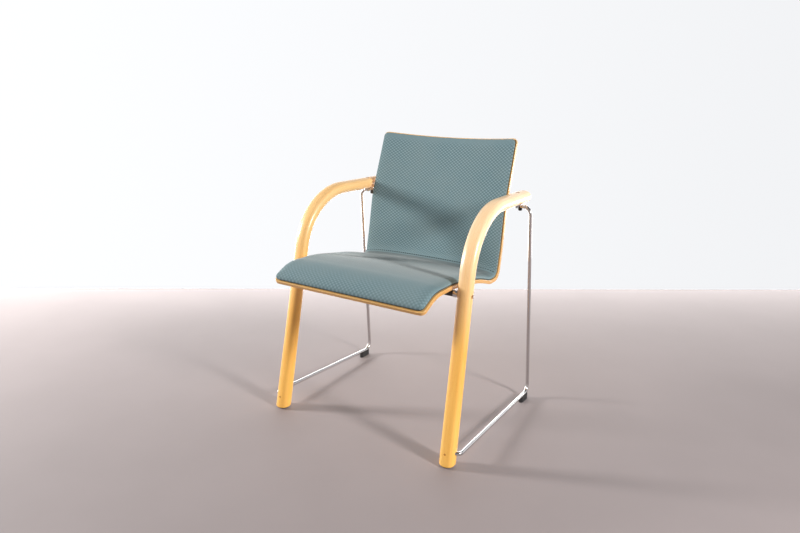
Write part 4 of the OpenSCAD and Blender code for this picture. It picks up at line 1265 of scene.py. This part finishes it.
class CHAIR_OT_pads(Operator):
    """Seat pad and back pad, crowned and covered in woven cloth, and the seam between them"""

    bl_idname = "chair.pads"
    bl_label = "Sewn pads"

    def execute(self, context):
        s = context.scene.chair_pads
        form = shell_form()
        pad = PadForm(form, s)
        corner = context.scene.chair_shell.corner
        seam_corner, split = 0.002, 0.00025
        make_pad("seat_cushion", pad, s.border, form.seam - split, (corner, seam_corner),
                 s.seat_thickness, s.lip_extra, "seat_pad")
        make_pad("back_cushion", pad, form.seam + split, form.total - s.border,
                 (seam_corner, corner), s.back_thickness, 0.0, "back_pad")
        stitches(pad)
        return {"FINISHED"}


# Carried nodes


NODE_FINISHES = {
    bright_steel: ("rod", "tongue", "sleeve", "back_rail"),
    dark_steel: ("cross_bar", "bracket_left", "bracket_right", "leg_bolt"),
    zinc: ("arm_bolt", "arm_nut", "bracket_screws", "saddle_screws"),
    black_plastic: ("buffer", "runner_glide", "disc_glide", "saddle_left", "saddle_right"),
    brown_plug: ("arm_plug",),
    light_plug: ("lock_plug",),
}


class CHAIR_OT_fixings(Operator):
    """Finishes for the rods, bolts, glides and other nodes that keep their own meshes"""

    bl_idname = "chair.fixings"
    bl_label = "Rods and fixings"

    def execute(self, context):
        for maker, starts in NODE_FINISHES.items():
            for node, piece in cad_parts.items():
                if node.startswith(starts):
                    piece.data.materials.clear()
                    piece.data.materials.append(finish(maker))
        return {"FINISHED"}


# Stage


LIGHT_AIM = (0.0, 0.0, 0.45)
WINDOW_SIZE = (0.42, 0.6)
WINDOWS = (
    ("window_left", (-2.87, -1.3, 1.38), 120, (1, 0.99, 0.97)),
    ("window_right", (3.1, -0.5, 1.75), 116, (1, 0.98, 0.96)),
)
GLOW_BEHIND, GLOW_HEIGHT, GLOW_AIM_HEIGHT = 3.3, 0.27, 0.2
GLOW_SIZE, GLOW_WATTS = (6.0, 0.5), 75
LIGHT_TILT = 0.1
LIGHT_AHEAD = -0.4, 0.9, 0.53, 1.7
LIGHT_ABOVE = 0.15, 0.75, 1.0, 0.14
# Painted shade on the backdrop: what the camera sees darkens from left to right.
BACKDROP_SHADE_ACROSS = -0.5, 0.5, 1.03, 0.92


def add_light(name, place, aim, size, watts, tint):
    """Large soft area light that faces a point."""
    data = bpy.data.lights.new(name, "AREA")
    data.shape = "RECTANGLE"
    data.size, data.size_y = size
    data.energy = watts
    data.color = tint
    light = put(name, data)
    light.location = place
    light.rotation_euler = (Vector(aim) - Vector(place)).to_track_quat("-Z", "Y").to_euler()
    light.visible_camera = False


class CHAIR_OT_stage(Operator):
    """Camera at the photograph's angle, pale floor and soft light"""

    bl_idname = "chair.stage"
    bl_label = "Stage"

    def execute(self, context):
        s = context.scene.chair_stage
        place = np.array([s.camera_x, s.camera_y + rear_shift(), s.camera_z])
        heading = np.array([-math.sin(s.azimuth), math.cos(s.azimuth), 0.0])
        self.camera(context.scene, s, place)
        self.floor(s, place, heading)
        for name, spot, watts, tint in WINDOWS:
            add_light(name, spot, LIGHT_AIM, WINDOW_SIZE, watts, tint)
        behind = place + GLOW_BEHIND * heading
        add_light("wall_glow", (*behind[:2], GLOW_HEIGHT), (*place[:2], GLOW_AIM_HEIGHT),
                  GLOW_SIZE, GLOW_WATTS, (1, 0.99, 0.98))
        self.room(context.scene, heading)
        context.scene.view_settings.view_transform = "Standard"
        return {"FINISHED"}

    def camera(self, scene, s, place):
        """Camera turned by the roll, then raised to a quarter turn less the pitch, then aimed."""
        data = bpy.data.cameras.new("camera")
        data.sensor_width = 36.0
        data.lens = s.lens
        turns = ((s.azimuth, "Z"), (math.pi / 2 - s.pitch, "X"), (s.roll, "Z"))
        aimed, raised, tipped = (Matrix.Rotation(turn, 3, axis) for turn, axis in turns)
        camera = put("camera", data)
        camera.matrix_world = Matrix.LocRotScale(Vector(place), aimed @ raised @ tipped, None)
        scene.camera = camera

    def floor(self, s, place, heading):
        """Rectangle that ends where the picture's floor ends, square to the view."""
        ahead, side = heading[:2], np.array([heading[1], -heading[0]])
        reach, wide = 6.0, 7.0
        spots = [place[:2] + ahead * a + side * b
                 for a, b in ((s.floor_end, -wide), (s.floor_end, wide), (-reach, wide),
                              (-reach, -wide))]
        mesh = bpy.data.meshes.new("floor")
        mesh.from_pydata([(*p, 0.0) for p in spots], [], [(3, 2, 1, 0)])
        mesh.materials.append(finish(pale_floor))
        floor = put("floor", mesh)

    def room(self, scene, heading):
        """White to the eye, with a painted shade that darkens it towards the camera's right; as
        light, white ahead of the camera and dimmer behind and above.
        """
        world = bpy.data.worlds.new("room")
        f = Nodes(world)
        way = f.node("ShaderNodeTexCoord").outputs["Generated"]
        ahead = f.level(f.dot(way, (*heading[:2], LIGHT_TILT)), *LIGHT_AHEAD)
        above = f.level(f.parts(way)[2], *LIGHT_ABOVE)
        # Painted shade: the backdrop's strength seen by the camera falls across the view.
        seen = f.level(f.dot(way, (heading[1], -heading[0], 0.0)), *BACKDROP_SHADE_ACROSS)
        by_camera = f.node("ShaderNodeLightPath").outputs["Is Camera Ray"]
        strength = f.node("ShaderNodeMix", {0: by_camera, 2: f.times(ahead, above), 3: seen},
                          data_type="FLOAT").outputs[0]
        back = f.node("ShaderNodeBackground", {"Strength": strength, "Color": (0.97, 0.98, 1.0)})
        f.node("ShaderNodeOutputWorld", {"Surface": back.outputs["Background"]})
        scene.world = world


class CHAIR_PT_panel(Panel):
    bl_label = "Visitor chair"
    bl_space_type = "VIEW_3D"
    bl_region_type = "UI"
    bl_category = "Chair"

    def draw(self, context):
        for kind in OPERATORS:
            self.layout.operator(kind.bl_idname)


GROUPS = {
    "chair_sides": ChairSideSizes,
    "chair_shell": ChairShellSizes,
    "chair_pads": ChairPadSizes,
    "chair_steel": ChairSteelLooks,
    "chair_stage": ChairStageSizes,
}
OPERATORS = (CHAIR_OT_stage, CHAIR_OT_sides, CHAIR_OT_shell, CHAIR_OT_pads, CHAIR_OT_fixings)


def register():
    for name, group in GROUPS.items():
        bpy.utils.register_class(group)
        setattr(bpy.types.Scene, name, PointerProperty(type=group))
    for kind in (*OPERATORS, CHAIR_PT_panel):
        bpy.utils.register_class(kind)


def unregister():
    for kind in (CHAIR_PT_panel, *reversed(OPERATORS)):
        bpy.utils.unregister_class(kind)
    for name, group in GROUPS.items():
        delattr(bpy.types.Scene, name)
        bpy.utils.unregister_class(group)


def main():
    register()
    bpy.ops.chair.stage()
    bpy.ops.chair.sides()
    bpy.ops.chair.shell()
    bpy.ops.chair.pads()
    bpy.ops.chair.fixings()


if __name__ == "__main__":
    main()
